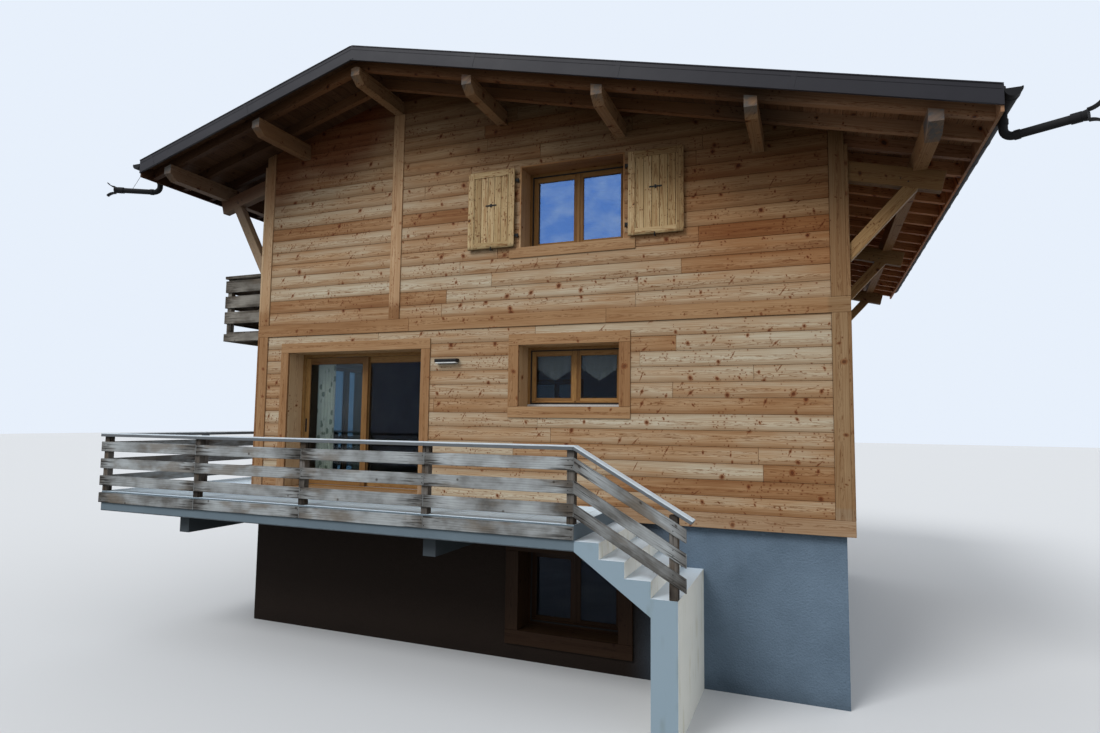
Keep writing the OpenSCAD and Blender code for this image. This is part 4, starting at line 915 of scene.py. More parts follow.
# %% Glass
def pane_glass(name, ior, painted_sky_share, clear, cloudy):
    """Clear glass mixed with a painted reflection of the sky, a larger share above a height."""
    f = Finish(name, "glass", Roughness=0.0, IOR=ior, Transmission_Weight=1.0)
    x, y, z = f.place()
    drift = f.noise((x * 1.4, y * 1.4, z * 2.2), 1.0, 4.0, 0.6)
    tint = f.ramp(drift, (0.3, (0.60, 0.63, 0.63)), (0.7, (0.66, 0.69, 0.68)))
    # Panes in the side walls are tinted blue as painted light of hills seen through them, and back
    # panes nearly black as painted shade.
    f.set(Base_Color=tint.cover(abs(x).smooth(3.95, 4.05), (0.055, 0.12, 0.19))
          .cover(y.smooth(3.45, 3.55), (0.012, 0.018, 0.024)))
    # The second shader is a mirror whose two sky tones are a painted reflection of the sky.
    sky_tone = f.ramp(drift, (0.42, clear), (0.72, cloudy))
    mirror = f.node("BsdfPrincipled", None,
                    {"Base Color": sky_tone, "Metallic": 1.0, "Roughness": 0.02})
    low, high, gain, least = painted_sky_share
    both = f.node("MixShader", None, {0: z.smooth(low, high) * gain + least,
                                      1: Val(f, f.shader.outputs[0]), 2: mirror})
    f.feed(f.tree.nodes["Material Output"].inputs["Surface"], both)
    return f


glass = pane_glass("window_glass", 1.17, (4.9, 5.4, 0.58, 0.005), (0.15, 0.31, 0.72),
                   (0.36, 0.50, 0.77))
door_glass = pane_glass("door_glass", 1.20, (2.9, 3.5, 0.02, 0.01), (0.40, 0.52, 0.62),
                        (0.55, 0.60, 0.62))
print("glass:", len(glass.tree.nodes), "nodes")

# %% [markdown]
# Each shutter is a panel of upright boards held by a flat frame on the face that shows when it
# lies open. A black bar latch, screws at the frame's corners and the strap hinges complete it.
# The boards ride on their shutter's body.

# %% Shutters
SHUTTER_W, SHUTTER_Z0, SHUTTER_Z1, LEDGE_W = 0.7405, 5.712, 6.857, 0.092
SHUTTER_BACK, SHUTTER_MID, SHUTTER_FRONT = -4.031, -4.0525, -4.061
SHUTTER_BOARDS, SCREWS = 7, 7


def shutter(name, x0, body):
    x1, z0, z1, w = x0 + SHUTTER_W, SHUTTER_Z0, SHUTTER_Z1, LEDGE_W
    back, mid, front = SHUTTER_BACK, SHUTTER_MID, SHUTTER_FRONT
    bm = batch()
    step = (x1 - x0) / SHUTTER_BOARDS
    for i in range(SHUTTER_BOARDS):
        plank(bm, x0 + i * step + 0.002, x0 + (i + 1) * step - 0.002, mid, back, z0, z1, "z")
    boards = piece(bm, name + "_boards", shutter_wood, body, 0.004)
    bm = batch()
    ring(bm, x0, x1, z0, z1, w, front, mid)
    piece(bm, name + "_frame", shutter_wood, body, 0.0025)
    bm = bmesh.new()
    mx, mz = (x0 + x1) / 2, (z0 + z1) / 2 + 0.06
    block(bm, mx - 0.085, mx + 0.085, front, mid - 0.001, mz - 0.009, mz + 0.009)
    block(bm, mx - 0.012, mx + 0.012, front + 0.0005, mid - 0.001, mz - 0.024, mz + 0.024)
    for x in (x0 + w / 2, x1 - w / 2):
        for k in range(SCREWS):
            z = z0 + w / 2 + k * (z1 - z0 - w) / (SCREWS - 1)
            pin(bm, (x, front + 0.0002, z), "y", 0.0045, 0.002)
    piece(bm, name + "_latch", iron, body, 0)
    return boards


left_boards = shutter("left_shutter", 0.161 - SHUTTER_W, "left_shutter_leaf")
right_boards = shutter("right_shutter", 1.830, "right_shutter_leaf")
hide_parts("left_shutter")
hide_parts("right_shutter")
bm = bmesh.new()
for x in (-0.20, 2.19):
    block(bm, x - 0.006, x + 0.006, -4.066, -4.0, 5.690, 5.702)
    block(bm, x - 0.006, x + 0.006, -4.074, -4.064, 5.675, 5.735)
piece(bm, "shutter_catches", iron, edge=0.002)

# %% [markdown]
# The terrace rail: four boards outside square posts, with butt joints at the posts, a flat
# painted coping, and screws. The boards beside the stair follow its slope. Every board is a
# plank, so the weathered finish follows its grain and darkens at its ends.

# %% Terrace rail
SLAB_F, SLAB_L, SLAB_R, SLAB_B = -5.591, -5.815, 1.651, -0.400
TERRACE_Z, RAIL_Z = 2.130, 1.967
RAIL_T, RAIL_H, RAIL_STEP, RAIL_ROWS, POST_W = 0.030, 0.143, 0.249, 4, 0.090
COPING_Z, COPING_T, COPING_W, LIP = 2.985, 0.050, 0.150, 0.010
STAIR_PITCH, STAIR_END, RISER = math.radians(29.5), 2.775, 0.1726
STAIR_SLOPE = math.tan(STAIR_PITCH)
front_step = (SLAB_R - POST_W - SLAB_L) / 4
wing_step = (SLAB_B - POST_W - SLAB_F) / 3
posts_x = [SLAB_L + i * front_step for i in range(5)]
posts_y = [SLAB_F + i * wing_step for i in range(4)]
end_post = STAIR_END - POST_W
FACE = SLAB_F - RAIL_T, SLAB_F
bm, screws = batch(), bmesh.new()


def joined(start, middles, end):
    """Pairs of places between which boards are laid, with joints at the posts' middles."""
    cuts = [start] + [p + POST_W / 2 for p in middles] + [end]
    return zip(cuts, cuts[1:])


def screw(at, axis):
    pin(screws, at, axis, 0.006, 0.003)


for i in range(RAIL_ROWS):
    z = RAIL_Z + i * RAIL_STEP
    for a, b in joined(SLAB_L - RAIL_T, posts_x[1:4], SLAB_R):
        drop = random.uniform(-0.002, 0.002)
        plank(bm, a + 0.001, b - 0.001, *FACE, z + drop, z + RAIL_H + drop, "x")
    for x in posts_x:
        for dz in (0.035, RAIL_H - 0.035):
            screw((x + POST_W / 2 + random.choice((-0.02, 0.02)), FACE[0], z + dz), "y")
    for a, b in joined(SLAB_F + 0.001, posts_y[1:3], SLAB_B):
        plank(bm, SLAB_L - RAIL_T, SLAB_L, a + 0.001, b - 0.001, z, z + RAIL_H, "y")
    for y in posts_y[1:]:
        screw((SLAB_L - RAIL_T, y + POST_W / 2, z + RAIL_H / 2), "x")
    plank(bm, SLAB_L, -OUT_W - 0.001, SLAB_B, SLAB_B + RAIL_T, z, z + RAIL_H, "x")
lean = Matrix.Identity(4)
lean[2][0] = -STAIR_SLOPE
lean = Matrix.Translation((SLAB_R, 0, 0)) @ lean @ Matrix.Translation((-SLAB_R, 0, 0))
screw_x = end_post + POST_W / 2
for i in range(1, RAIL_ROWS):
    top = RAIL_Z + i * RAIL_STEP + RAIL_H
    plank(bm, SLAB_R + 0.001, STAIR_END + 0.09, *FACE, top - RAIL_H, top, "x", lean)
    z = top - (screw_x - SLAB_R) * STAIR_SLOPE - RAIL_H / 2
    screw((screw_x, FACE[0], z - 0.03), "y")
    screw((screw_x, FACE[0], z + 0.03), "y")
rails = piece(bm, "terrace_rail_boards", grey, edge=0.004)
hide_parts("terrace_rails")
piece(screws, "terrace_screws", iron, edge=0)

# %% [markdown]
# The posts stand on the slab behind the boards and end under the coping. They are darker than
# the boards, because the sun does not reach them, and the last one stands beside the stair.

# %% Terrace posts
bm = batch()
post_top = COPING_Z - COPING_T
low_top = post_top - (STAIR_END - SLAB_R) * STAIR_SLOPE
for x in posts_x:
    plank(bm, x, x + POST_W, SLAB_F, SLAB_F + POST_W, TERRACE_Z, post_top, "z")
for y in posts_y[1:]:
    plank(bm, SLAB_L, SLAB_L + POST_W, y, y + POST_W, TERRACE_Z, post_top, "z")
plank(bm, end_post, STAIR_END, SLAB_F, SLAB_F + POST_W, TERRACE_Z - 4 * RISER, low_top, "z")
terrace_posts = piece(bm, "terrace_post_beams", grey_post, edge=0.004)
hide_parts("terrace_posts")

# %% [markdown]
# The coping is a painted board, light grey-blue, a little worn at its edges, and painted dark
# along its lower edge as shade. Masonry follows: the rough blue-grey render of the basement, the
# terrace's painted concrete and the steps.
# Each is noise at two or three scales: patches of tone, and a relief at the real grain size.

# %% Coping, concrete and render
def masonry(name, slot, pale, dark, grain_size, relief, patch=1.2, rough=0.8):
    f = Finish(name, slot, Roughness=rough)
    f.cloud = f.noise(f.here(), patch, 5.0, 0.6)
    lumps = f.noise(f.here(), 1.0 / grain_size, 3.0, 0.65)
    f.colour = f.ramp(f.cloud * 0.75 + lumps * 0.25, (0.25, dark), (0.75, pale))
    f.bump(lumps, relief)
    return f


f = render_coat = masonry("rough_render", "render", (0.150, 0.208, 0.275),
                          (0.082, 0.118, 0.160), 0.022, 0.012)
x, y, z = f.place()
in_shade = x.smooth(2.75, 1.75) * y.smooth(-3.3, -3.6)
damp = (z + f.cloud * 0.3).smooth(0.45, 0.05)
f.set(Base_Color=f.colour.cover(in_shade, (0.018, 0.012, 0.009))
      .tint(damp * 0.45, (0.30, 0.30, 0.28)))

f = concrete = masonry("painted_concrete", "concrete", (0.150, 0.196, 0.230),
                       (0.098, 0.130, 0.156), 0.012, 0.0012, 0.9, 0.7)
x, y, z = f.place()
ragged_edge = f.noise((x * 14.0, y * 14.0, z * 2.0), 1.0, 4.0, 0.7)
# Below 1.85 m, on the slab's underside and the beams, the concrete is painted nearly black with a
# ragged upper line: painted shade under the slab.
under_slab_shade = (z - ragged_edge * 0.02).smooth(1.850, 1.842)
across, along = (abs(((p + 20.0) / 0.5).fract() - 0.5).smooth(0.489, 0.494) for p in (x, y))
on_top = z > 2.128
# The top's very pale blue is partly paving tone, partly painted sky light.
paving_and_sky_light = f.ramp(f.cloud, (0.3, (0.64, 0.78, 0.90)), (0.7, (0.74, 0.87, 0.96)))
f.set(Base_Color=f.colour.cover(on_top, paving_and_sky_light)
      .cover(across.high(along) * on_top * 0.6, (0.26, 0.28, 0.30))
      .cover(under_slab_shade * 0.8, (0.040, 0.044, 0.048)))

f = steps = masonry("steps", "steps", (0.96, 0.95, 0.88), (0.86, 0.87, 0.81), 0.010, 0.0015,
                    2.0, 0.7)
x, y, z = f.place()
_, ny, nz = f.node("NewGeometry", out="Normal").parts()
sky_lit_tread = nz.smooth(0.6, 0.9)
stain = f.noise((x * 3.0, y * 5.0, z * 1.2), 1.5, 3.0).smooth(0.55, 0.72)
# The treads' grey-blue is painted sky light; treads and risers share one cream paint, and the
# grey-blue sides are the flight's own paint.
f.set(Base_Color=f.colour.cover(sky_lit_tread * 0.9, (0.60, 0.70, 0.79))
      .cover(abs(ny).smooth(0.6, 0.9) * 0.92, (0.195, 0.280, 0.350))
      .cover(nz.smooth(-0.3, -0.6) * 0.8, (0.12, 0.13, 0.14))
      .tint(stain * (1.0 - sky_lit_tread) * 0.35, (0.62, 0.56, 0.36)))

f = coping = masonry("coping_paint", "coping_paint", (0.62, 0.69, 0.75), (0.50, 0.565, 0.62),
                     0.004, 0.0004, 3.0, 0.5)
x, y, z = f.place()
wear = f.noise((x * 4.0, y * 30.0, z * 30.0), 1.0, 4.0, 0.7)
crest = COPING_Z - (x - SLAB_R).high(0.0) * STAIR_SLOPE
# Below the top 13 to 19 mm the coping is painted nearly black: painted shade along its lower edge.
shaded_low_edge = (crest - z + wear * 0.008).smooth(0.013, 0.019)
f.set(Base_Color=f.colour.cover(wear.smooth(0.58, 0.74) * 0.6, (0.14, 0.13, 0.12))
      .cover(shaded_low_edge * 0.85, (0.045, 0.045, 0.048)))
print("masonry and paint:", [f.mat.name for f in (render_coat, concrete, steps, coping)])

# %% [markdown]
# The coping itself is laid in lengths with fine joints, like the rail boards under it.

# %% Coping boards
bm = batch()
x0, y0, y3 = (SLAB_L - RAIL_T - LIP, SLAB_F - RAIL_T - LIP, SLAB_B + RAIL_T + LIP)
LEVEL, FINE = (COPING_Z - COPING_T, COPING_Z), 0.0006
for a, b in joined(x0, posts_x[1:4:2], SLAB_R):
    plank(bm, a + FINE, b - FINE, y0, y0 + COPING_W, *LEVEL, "x")
for a, b in joined(y0 + COPING_W, posts_y[2:3], y3):
    plank(bm, x0, x0 + COPING_W, a + FINE, b - FINE, *LEVEL, "y")
plank(bm, x0 + COPING_W + 0.001, -OUT_W - 0.001, y3 - COPING_W, y3, *LEVEL, "x")
slope_len = (STAIR_END + 0.185 - SLAB_R) / math.cos(STAIR_PITCH)
thick = COPING_T * math.cos(STAIR_PITCH)
turn = Matrix.Translation((SLAB_R, 0, COPING_Z)) @ Matrix.Rotation(STAIR_PITCH, 4, "Y")
plank(bm, 0.002, slope_len - 0.026, y0, y0 + COPING_W, -thick, 0, "x", turn)
coping_boards = piece(bm, "coping_boards", coping, edge=0.004, round_up=2)
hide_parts("terrace_coping")

# %% [markdown]
# The balcony repeats the terrace's rail with wider boards round three sides, on joists and
# deck boards.

# %% Balcony
BAL_L, BAL_F, BAL_B, BAL_IN = -5.860, -3.500, -0.400, 0.030
BAL_TOP = UPPER_Z + 1.020
DECK_L, DECK_T, DECK_BOARDS = BAL_L + BAL_IN, 0.035, 9
JOISTS, JOIST_W, JOIST_LOW = 4, 0.100, 0.170
deck, bal = batch(), batch()
for i in range(DECK_BOARDS):
    w = (-DECK_L - OUT_W) / DECK_BOARDS
    x = DECK_L + i * w
    plank(deck, x + 0.002, x + w - 0.002, BAL_F + BAL_IN, BAL_B - BAL_IN, UPPER_Z - DECK_T,
          UPPER_Z, "y")
for i in range(JOISTS):
    y = BAL_F + i * (BAL_B - BAL_F - JOIST_W) / (JOISTS - 1)
    plank(deck, DECK_L, -OUT_W, max(y, BAL_F + BAL_IN), min(y + JOIST_W, BAL_B - BAL_IN),
          UPPER_Z - JOIST_LOW, UPPER_Z - DECK_T, "x")


def belt(bm, z0, z1, w, out):
    """Boards round the three open sides, with a joint in the middle of the long one."""
    x0, y0, y1 = BAL_L - out, BAL_F - out, BAL_B + out
    for y in (y0, y1 - w):
        plank(bm, x0, -OUT_W, y, y + w, z0, z1, "x")
    mid = (y0 + y1) / 2
    for a, b in ((y0 + w, mid), (mid, y1 - w)):
        plank(bm, x0, x0 + w, a + 0.001, b - 0.001, z0, z1, "y")


for i in range(3):
    top = BAL_TOP - 0.085 - i * 0.285
    belt(bal, top - 0.215, top, RAIL_T, 0)
belt(bal, UPPER_Z - JOIST_LOW, UPPER_Z - DECK_T, RAIL_T, 0)
belt(bal, BAL_TOP - COPING_T, BAL_TOP, COPING_W, LIP)
for y in (BAL_F + RAIL_T, (BAL_F + BAL_B - POST_W) / 2, BAL_B - RAIL_T - POST_W):
    plank(bal, BAL_L + RAIL_T, BAL_L + RAIL_T + POST_W, y, y + POST_W, UPPER_Z,
          BAL_TOP - COPING_T, "z")
balcony_deck = piece(deck, "balcony_deck", grey_post, edge=0.003)
balcony_boards = piece(bal, "balcony_boards", grey, edge=0.004)
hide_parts("balcony_floor")
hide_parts("balcony_rail")

# %% [markdown]
# The roof's timber stays the CAD's, because its form is right; it gets the same timber on
# object coordinates. A rafter's grain runs down the slope, the purlins' and the roof boards'
# along the house. The purlin ends have weathered grey, and the roof boards show as courses.

# %% Roof timber
LANE_W, RAFTER_STEP, RAFTER_Y, RAFTER_MID = 0.145, 0.55222, 5.01, 0.2057
PURLIN_STEP, PURLIN_MID, RAFTER_DEEP = 1.79, 0.37, 0.185

f = roof_boards = Finish("roof_boards", "soffit_timber", Roughness=0.6)
x, y, _ = f.place()
down = (x - RIDGE_X) * (1.0 / math.cos(PITCH[-1])) / LANE_W
middle = down.fract() - 0.5
colour, relief = timber(f, y, middle * LANE_W, down.floor() + 0.37,
                        shades((0.34, 0.185, 0.105), (0.26, 0.133, 0.070), (0.18, 0.088, 0.044)),
                        (0.05, 0.018, 0.010), 0.8, knot_r=0.018)
groove = abs(middle).smooth(0.475, 0.492)
# Apart from the dark joints, the soffit's boarding is darkened by painted shade, less near the
# right verge.
f.set(Base_Color=colour.cover(groove * 0.85, (0.03, 0.014, 0.008))
      .tint(x.smooth(4.6, 3.4) * 0.70 + 0.30, (0.22, 0.20, 0.18)))
f.bump(relief * 0.1 - groove, 0.006)

f = rafter_wood = Finish("rafter_timber", "soffit_timber", Roughness=0.6)
x, y, z = f.place()
bay = (y + RAFTER_Y) / RAFTER_STEP + 0.3
middle = bay.fract() * RAFTER_STEP - RAFTER_MID
colour, relief = timber(f, x, middle + under_roof(x, z) - RAFTER_DEEP, bay.floor() * 1.7,
                        shades((0.58, 0.270, 0.125), (0.47, 0.195, 0.083), (0.35, 0.133, 0.056)),
                        (0.06, 0.02, 0.01), 0.7)
# All three tints are painted shade: under the soffit left of the right verge, at the far left, and
# under the front overhang on the right.
f.set(Base_Color=colour.tint(x.smooth(4.6, 3.4), (0.29, 0.30, 0.31))
      .tint(x.smooth(-2.0, -4.0), (0.32, 0.33, 0.36))
      .tint(x.smooth(2.6, 3.6) * y.smooth(-3.0, -3.7), (0.58, 0.72, 0.92)))
f.bump(relief, 0.001)

f = purlin_wood = Finish("purlin_timber", "beam_timber", Roughness=0.65)
x, y, z = f.place()
bay = (x - RIDGE_X) / PURLIN_STEP
lane = bay.math("ROUND")
over = (bay - lane) * PURLIN_STEP + under_roof(x, z) - PURLIN_MID
colour, relief = timber(f, y, over, lane * 2.3,
                        shades((0.33, 0.195, 0.100), (0.27, 0.152, 0.075), (0.20, 0.105, 0.050)),
                        (0.06, 0.022, 0.010), 0.9, contrast=1.1, knot_r=0.026)
spread = f.noise((x * 6.0, y * 3.0, z * 9.0), 1.0, 4.0, 0.6)
facing = abs(f.node("NewGeometry", out="Normal").parts()[1])
bleached = (abs(y) + spread * 0.30).smooth(5.14, 5.28) * (facing.smooth(0.3, 0.7) * 0.80 + 0.10)
stripped = spread.smooth(0.44, 0.56) * 0.45 + 0.55
capped = (x > 5.0) * (y < -4.80)
# The first two tints darken the purlins left of the right eave and at the far left: painted shade;
# the grey ends and the cap are weathering and metal.
f.set(Base_Color=colour.tint(x.smooth(4.8, 4.0), (0.74, 0.74, 0.76))
      .tint(x.smooth(-3.6, -4.2), (0.60, 0.64, 0.78))
      .cover(bleached * stripped, (0.090, 0.084, 0.078))
      .cover(capped * stripped * 0.9, (0.070, 0.073, 0.078)))
f.bump(relief, 0.0012)
print("roof timber:", [f.mat.name for f in (roof_boards, rafter_wood, purlin_wood)])

# %% [markdown]
# The eave brackets are heavy planed beams: an arm laid to the slope under the purlin, and a
# strut up to it. They are drawn as planks between two points, so their grain follows each
# beam, and two iron pegs show where strut and arm meet.

# %% Eave brackets
def beam_between(bm, p, q, low, high, y0, y1):
    """A beam laid between two points in X and Z."""
    p, q = (Vector((x, 0, z)) for x, z in sorted((p, q)))
    way = q - p
    turn = Matrix.Translation(p) @ Matrix.Rotation(math.atan2(-way.z, way.x), 4, "Y")
    plank(bm, 0, way.length, y0, y1, low, high, "x", turn)


ARM_TOP, ARM_H, ARM_W, ARM_OUT, STRUT_T = 0.455, 0.240, 0.140, 1.050, 0.150
MEET_OUT, STRUT_PAST, BRACKETS = 0.700, 0.075, 3
STRUT_FALL = {-1: 1.230, 1: 0.760}
bm, pegs = batch(), bmesh.new()
for k in range(BRACKETS):
    y0 = -IN_D + k * (2 * IN_D - ARM_W) / (BRACKETS - 1)
    y1 = y0 + ARM_W
    for side, fall in STRUT_FALL.items():
        wall, end = side * IN_W, side * (HALF_W + ARM_OUT)
        ends = [(x, roof_z(x) - ARM_TOP) for x in (wall, end)]
        beam_between(bm, *ends, -ARM_H * math.cos(PITCH[side]), 0, y0 + 0.001, y1 - 0.001)
        meet = wall + side * MEET_OUT
        arm_z = roof_z(meet) - ARM_TOP - ARM_H
        past = Vector((meet - wall, fall)).normalized() * STRUT_PAST
        beam_between(bm, (wall, arm_z - fall), (meet + past.x, arm_z + past.y), -STRUT_T / 2,
                     STRUT_T / 2, y0 + 0.004, y1 - 0.004)
        for t in (0.02, 0.10):
            for y in (y0 + 0.001, y1 - 0.001):
                pin(pegs, (meet - side * t, y, arm_z + 0.06 + t * 0.6), "y", 0.009, 0.004, 10)
brackets = piece(bm, "bracket_beams", beam, edge=0.006)
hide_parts("eave_brackets")
piece(pegs, "bracket_pegs", iron, edge=0)

# %% [markdown]
# Above, a dark folded sheet: trays about half a metre wide with standing seams down the
# slope, a ridge cap, and verge boards of the same metal. The relief of the trays is bump, the
# seams and folds are real, because they show in the roof's outline.

# %% Roof metal
EAVE, VERGE = {-1: -5.976, 1: 5.858}, 5.200
SEAMS, SHEET_T, VERGE_H = 21, 0.025, 0.215


def coated(name, slot, pale, dark, rough, dust_and_shade):
    f = Finish(name, slot, IOR=1.3)
    x, y, z = f.place()
    cloud = f.noise(f.here(), 0.9, 4.0, 0.6)
    run_down = f.noise((x * 0.7, y * 6.0, z * 0.7), 1.0, 4.0, 0.6)
    colour = f.ramp(cloud * 0.6 + run_down * 0.4, (0.3, dark), (0.7, pale))
    f.set(Base_Color=colour.cover(run_down.smooth(0.55, 0.8) * 0.35, dust_and_shade),
          Roughness=cloud * 0.25 + rough - 0.1)
    f.bump(f.noise(f.here(), 3.0), 0.004)
    return f


def on_slope(side, short=0.0):
    """A matrix whose X runs down the slope and whose Z stands off it, and the slope's length."""
    flip = Matrix.Rotation(math.pi, 4, "Z") if side < 0 else Matrix.Identity(4)
    turn = Matrix.Translation((RIDGE_X, 0, RIDGE_Z)) @ flip @ Matrix.Rotation(PITCH[side], 4, "Y")
    return turn, (abs(EAVE[side] - RIDGE_X) - short) / math.cos(PITCH[side])


roof_sheet = coated("roof_sheet_metal", "roof_metal", (0.040, 0.037, 0.038),
                    (0.024, 0.022, 0.023), 0.50, (0.10, 0.095, 0.09))
verge_metal = coated("verge_metal", "verge_metal", (0.022, 0.021, 0.026),
                     (0.013, 0.012, 0.016), 0.50, (0.055, 0.052, 0.056))
gutter_metal = coated("gutter_metal", "gutter_metal", (0.010, 0.010, 0.011),
                      (0.005, 0.005, 0.006), 0.72, (0.028, 0.026, 0.025))

bm = bmesh.new()
for side in (-1, 1):
    turn, reach = on_slope(side)
    low = -SHEET_T * math.cos(PITCH[side])
    for k in range(SEAMS):
        y = -VERGE + 0.02 + k * (2 * VERGE - 0.04) / (SEAMS - 1)
        block(bm, 0.05, reach - 0.01, y - 0.007, y + 0.007, low - 0.001, -0.003, turn)
        block(bm, 0.05, reach - 0.01, y - 0.012, y + 0.007, -0.007, -0.0025, turn)
    block(bm, 0.0, 0.16, -VERGE, VERGE, -0.0025, 0.0, turn)
    block(bm, 0.155, 0.16, -VERGE, VERGE, low, 0.0, turn)
    block(bm, reach - 0.03, reach, -VERGE, VERGE, low, low + 0.004, turn)
piece(bm, "roof_seams", roof_sheet, edge=0.001)

bm = bmesh.new()
for side in (-1, 1):
    turn, reach = on_slope(side, 0.02)
    drop = VERGE_H * math.cos(PITCH[side])
    for sy in (-1, 1):
        for out, z0, z1 in ((0.028, -0.012, 0.0), (0.030, -drop, -drop + 0.010),
                            (0.0235, -0.060, -0.054)):
            block(bm, 0.02, reach, *pair(sy, VERGE + 0.020, VERGE + out), z0, z1, turn)
        for x in range(2, int(reach) + 1, 2):
            block(bm, x - 0.03, x + 0.03, *pair(sy, VERGE + 0.020, VERGE + 0.0225),
                  -drop + 0.012, -0.014, turn)
piece(bm, "verge_folds", verge_metal, edge=0.001)

# %% [markdown]
# The gutters hang from strap hooks every 0.6 m. A hook is a flat strip swept round the gutter
# by a half turn, and a rolled bead stiffens the outer rim.

# %% Gutter hooks and beads
GUTTER_R, GUTTER_BACK, RIM_LOW, HOOKS, BEAD_LEN = 0.080, 0.020, 0.054, 18, 10.43
GUTTERS = [(EAVE[side] + side * (GUTTER_R - GUTTER_BACK), side, roof_z(EAVE[side]) - RIM_LOW)
           for side in (-1, 1)]

bm = bmesh.new()
for x, side, rim in GUTTERS:
    for k in range(HOOKS):
        y = -5.1 + k * 0.6
        verts = [bm.verts.new((x - GUTTER_R - 0.0003, y + dy, rim)) for dy in (-0.014, 0.014)]
        strap = [bm.edges.new(verts)]
        bmesh.ops.spin(bm, geom=verts + strap, cent=(x, y, rim), axis=(0, 1, 0),
                       angle=-math.pi, steps=12, use_merge=False)
bmesh.ops.recalc_face_normals(bm, faces=bm.faces[:])
bmesh.ops.solidify(bm, geom=bm.faces[:], thickness=-0.004)
bmesh.ops.recalc_face_normals(bm, faces=bm.faces[:])
for x, side, rim in GUTTERS:
    pin(bm, (x + side * (GUTTER_R - 0.008), 0, rim), "y", 0.008, BEAD_LEN, 12)
piece(bm, "gutter_hooks", gutter_metal, edge=0)

# %% [markdown]
# The spouts' pipes are pushed together, so a collar shows at each joint, and a thin rod from
# the gutter's end holds the left one. A collar is a short bar round the pipe, the rod a thin one.

# %% Spout collars and stay
SPOUT_Y, SPOUT_Z, BEND_R, SPOUT_L, SPOUT_TURN = -4.780, 0.325, 0.095, 0.520, math.radians(30)


def rod(bm, a, b, radius, segments=16):
    a, b = Vector(a), Vector(b)
    turn = (b - a).to_track_quat("Z", "Y").to_matrix().to_4x4()
    bmesh.ops.create_cone(bm, cap_ends=True, segments=segments, radius1=radius,
                          radius2=radius, depth=(b - a).length,
                          matrix=Matrix.Translation((a + b) / 2) @ turn)


bm = bmesh.new()
for x, side, rim in GUTTERS:
    way = Vector((side * math.cos(SPOUT_TURN), -math.sin(SPOUT_TURN), 0))
    start = Vector((x, SPOUT_Y, rim - SPOUT_Z))
    for t, w, r in ((BEND_R, 0.05, 0.049), (BEND_R + SPOUT_L - 0.06, 0.085, 0.051)):
        rod(bm, start + way * t, start + way * (t + w), r, 28)
    rod(bm, (x, SPOUT_Y, rim - 0.135), (x, SPOUT_Y, rim - 0.185), 0.049, 28)
    if side < 0:
        rod(bm, (x - 0.05, -5.02, rim + 0.005), start + way * 0.42 + Vector((0, 0, 0.042)), 0.003)
piece(bm, "spout_collars", gutter_metal, edge=0.002)

# %% [markdown]
# The wall lamp is a shallow dark hood with a round front and a pale glass strip below.

# %% Wall lamp
LAMP_X, LAMP_HALF = -0.890, 0.185


def lamp_part(bm, inset, *corners):
    """A part of the lamp, as long as the hood less an inset at each end."""
    return block(bm, LAMP_X - LAMP_HALF + inset, LAMP_X + LAMP_HALF - inset, *corners)


bm = bmesh.new()
made = lamp_part(bm, 0, -4.095, -3.990, 4.086, 4.134)
front = [e for e in {e for vert in made for e in vert.link_edges}
         if all(vert.co.y < -4.09 for vert in e.verts)]
bmesh.ops.bevel(bm, geom=front, offset=0.022, segments=4, profile=0.5, affect="EDGES",
                material=-1)
lamp_part(bm, 0.020, -4.010, -3.990, 4.062, 4.090)
lamp_hood = piece(bm, "lamp_hood", iron, edge=0.0015)
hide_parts("wall_lamp")
diffuser = speckled("lamp_diffuser", "ironwork", 30.0, 2.0, (0.3, (0.62, 0.63, 0.62)),
                    (0.7, (0.72, 0.73, 0.72)), Roughness=0.3)
bm = bmesh.new()
lamp_part(bm, 0.015, -4.080, -4.012, 4.068, 4.0855)
piece(bm, "lamp_strip", diffuser, edge=0.006, round_up=2)

# %% [markdown]
# Two kinds of curtain show behind the glass: a gathered drape beside the terrace door, and two
# small pointed half curtains in the lower window. A drape is a strip with soft pleats whose
# wave grows towards its foot; its flat width is the length of that wave.

# %% Curtains
PLEAT_COLS, DRAPE_ROWS, LACE_W = 10, 14, 0.54


def drape(name, finish, x0, x1, y, z0, z1, waves, depth, foot=None):
    bm = bmesh.new()
    bmesh.ops.create_grid(bm, x_segments=waves * PLEAT_COLS, y_segments=DRAPE_ROWS, size=0.5)
    for vert in bm.verts:
        s, t = vert.co.x + 0.5, vert.co.y + 0.5
        low = foot(s) if foot else z0
        d = depth * (1.0 - 0.35 * t)
        vert.co = (x0 + (x1 - x0) * s, y + d * math.sin(s * waves * 2 * math.pi),
                   low + (z1 - low) * t)
    obj = piece(bm, name, finish, edge=0)
    for p in obj.data.polygons:
        p.use_smooth = True


f = drape_cloth = Finish("drape_cloth", "glass", Roughness=0.85)
x, y, z = f.place()
leaf_mask = f.cells((x * 9.0, y * 9.0, z * 6.0)).smooth(0.34, 0.24)
weave = f.noise(f.here(), 300.0, 1.0)
f.set(Base_Color=f.mix(leaf_mask * 0.75, (0.74, 0.77, 0.66), (0.13, 0.19, 0.12))
      .tint(weave * 0.2, (0.4, 0.42, 0.4)))
f.bump(weave, 0.0005)
drape("terrace_drape", drape_cloth, -3.70, -3.34, -3.46, 2.19, 4.38, 6, 0.035)

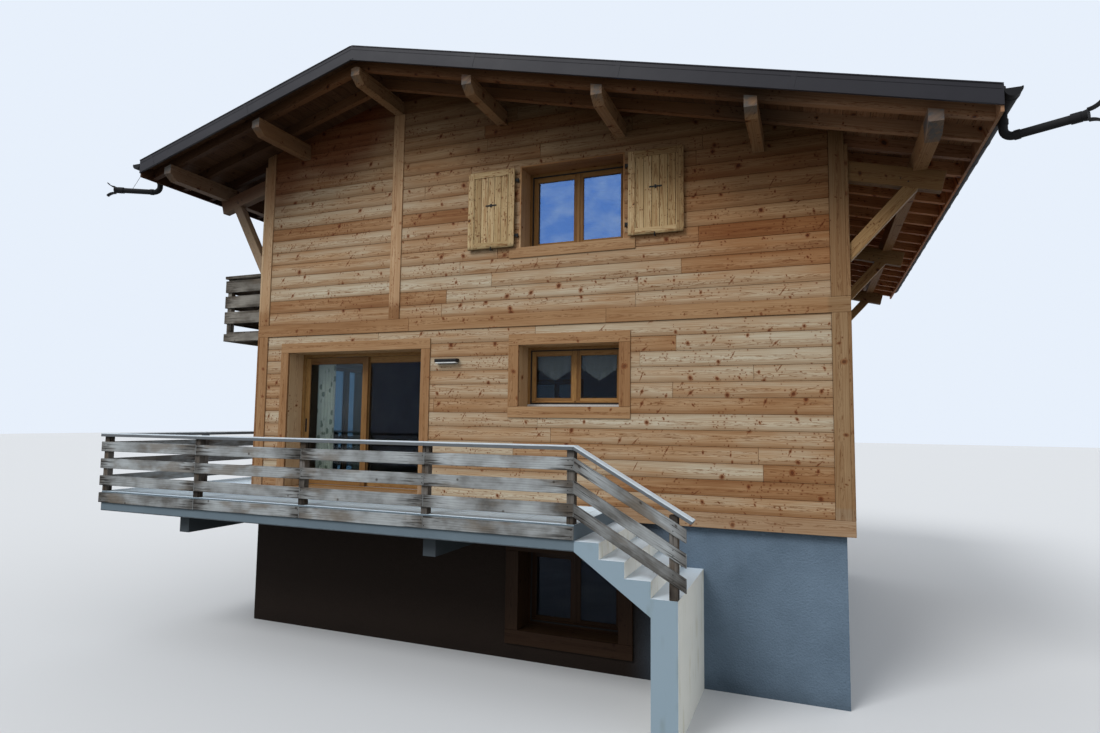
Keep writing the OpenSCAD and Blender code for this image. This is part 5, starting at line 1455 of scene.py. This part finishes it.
f = lace = Finish("lace_cloth", "glass", Roughness=0.9)
x, y, z = f.place()
holes = f.cells((x * 120.0, y * 40.0, z * 120.0))
f.set(Base_Color=f.ramp(holes, (0.2, (0.22, 0.24, 0.24)), (0.7, (0.30, 0.32, 0.32))),
      Alpha=holes.smooth(0.1, 0.5) * 0.35 + 0.35)
for k, x0 in enumerate((0.366, 1.0385)):
    drape("lace_%d" % k, lace, x0, x0 + LACE_W, -3.586, 3.86, 4.18, 5, 0.004,
          lambda s: 3.99 - 0.17 * (1 - abs(2 * s - 1)))

# %% [markdown]
# The rooms behind the glass stay plain: pale plaster walls and a boarded floor. The wall
# solids also show in the joints between boards, so their outer faces are painted dark as the
# shade in those joints.

# %% Rooms
FLOOR_BOARD_W = 0.14

f = core = Finish("wall_core", "wall_timber", Roughness=0.9)
x, y, _ = f.place()
grain = f.noise(f.here(), 2.0, 4.0)
plaster = f.ramp(grain, (0.3, (0.20, 0.175, 0.15)), (0.7, (0.26, 0.23, 0.20)))
# Outside the rooms the solids are painted dark, as the shade in the joints between boards.
f.set(Base_Color=f.mix(abs(x).smooth(4.2, 4.1) * abs(y).smooth(3.7, 3.6),
                       (0.045, 0.026, 0.014), plaster))
f.bump(grain, 0.002)

f = floor_wood = Finish("floor_boards", "trim_timber", Roughness=0.5)
x, y, _ = f.place()
lane = y / FLOOR_BOARD_W
colour, relief = timber(f, x, (lane.fract() - 0.5) * FLOOR_BOARD_W, lane.floor(),
                        shades((0.38, 0.26, 0.150), (0.25, 0.140, 0.065)), (0.1, 0.04, 0.02), 0)
f.set(Base_Color=colour)
f.bump(relief, 0.0005)
print("rooms:", core.mat.name, "and", floor_wood.mat.name)

# %% [markdown]
# Last, every CAD node that still shows gets its finish.

# %% Finishes of the CAD nodes
FINISHES = {
    render_coat: ["base_slab", "basement_front_wall", "basement_left_wall",
                  "basement_right_wall", "basement_back_wall"],
    concrete: ["terrace_slab", "terrace_beams"],
    steps: ["stair"],
    floor_wood: ["ground_floor", "upper_floor"],
    core: ["front_wall_left", "front_wall_over_door", "front_wall_right", "front_gable",
           "left_wall", "right_wall", "back_wall", "back_gable"],
    glass: ["window_panes"],
    door_glass: ["sliding_pane"],
    iron: ["left_shutter_hinges", "right_shutter_hinges", "shutter_pins"],
    purlin_wood: ["purlins"],
    rafter_wood: ["rafters", "eave_boards"],
    roof_boards: ["roof_boarding"],
    roof_sheet: ["roof_sheet"],
    verge_metal: ["verge_boards"],
    gutter_metal: ["gutters", "spouts"],
}
for finish, names in FINISHES.items():
    for name in names:
        mesh = nodes[name].data
        mesh.materials.clear()
        mesh.materials.append(finish.mat)
print(sum(len(n) for n in FINISHES.values()), "CAD nodes finished")

# %% [markdown]
# The floor is one wide pale square. To the camera and in the glass it is
# pale, but the light that it throws back up is that of a meadow, so that the eaves stay dark.

# %% Floor
FLOOR_HALF = 120

bm = bmesh.new()
bmesh.ops.create_grid(bm, x_segments=1, y_segments=1, size=FLOOR_HALF)
mesh = bpy.data.meshes.new("floor")
bm.to_mesh(mesh)
bm.free()
ground = bpy.data.objects.new("floor", mesh)
bpy.context.scene.collection.objects.link(ground)
pale = Finish("floor_paint", "concrete", Roughness=0.9)
pale.set(Base_Color=pale.mix(looked_at(pale), (0.17, 0.175, 0.16), (0.60, 0.61, 0.62)))
mesh.materials.append(pale.mat)
print("floor", 2 * FLOOR_HALF, "m wide")
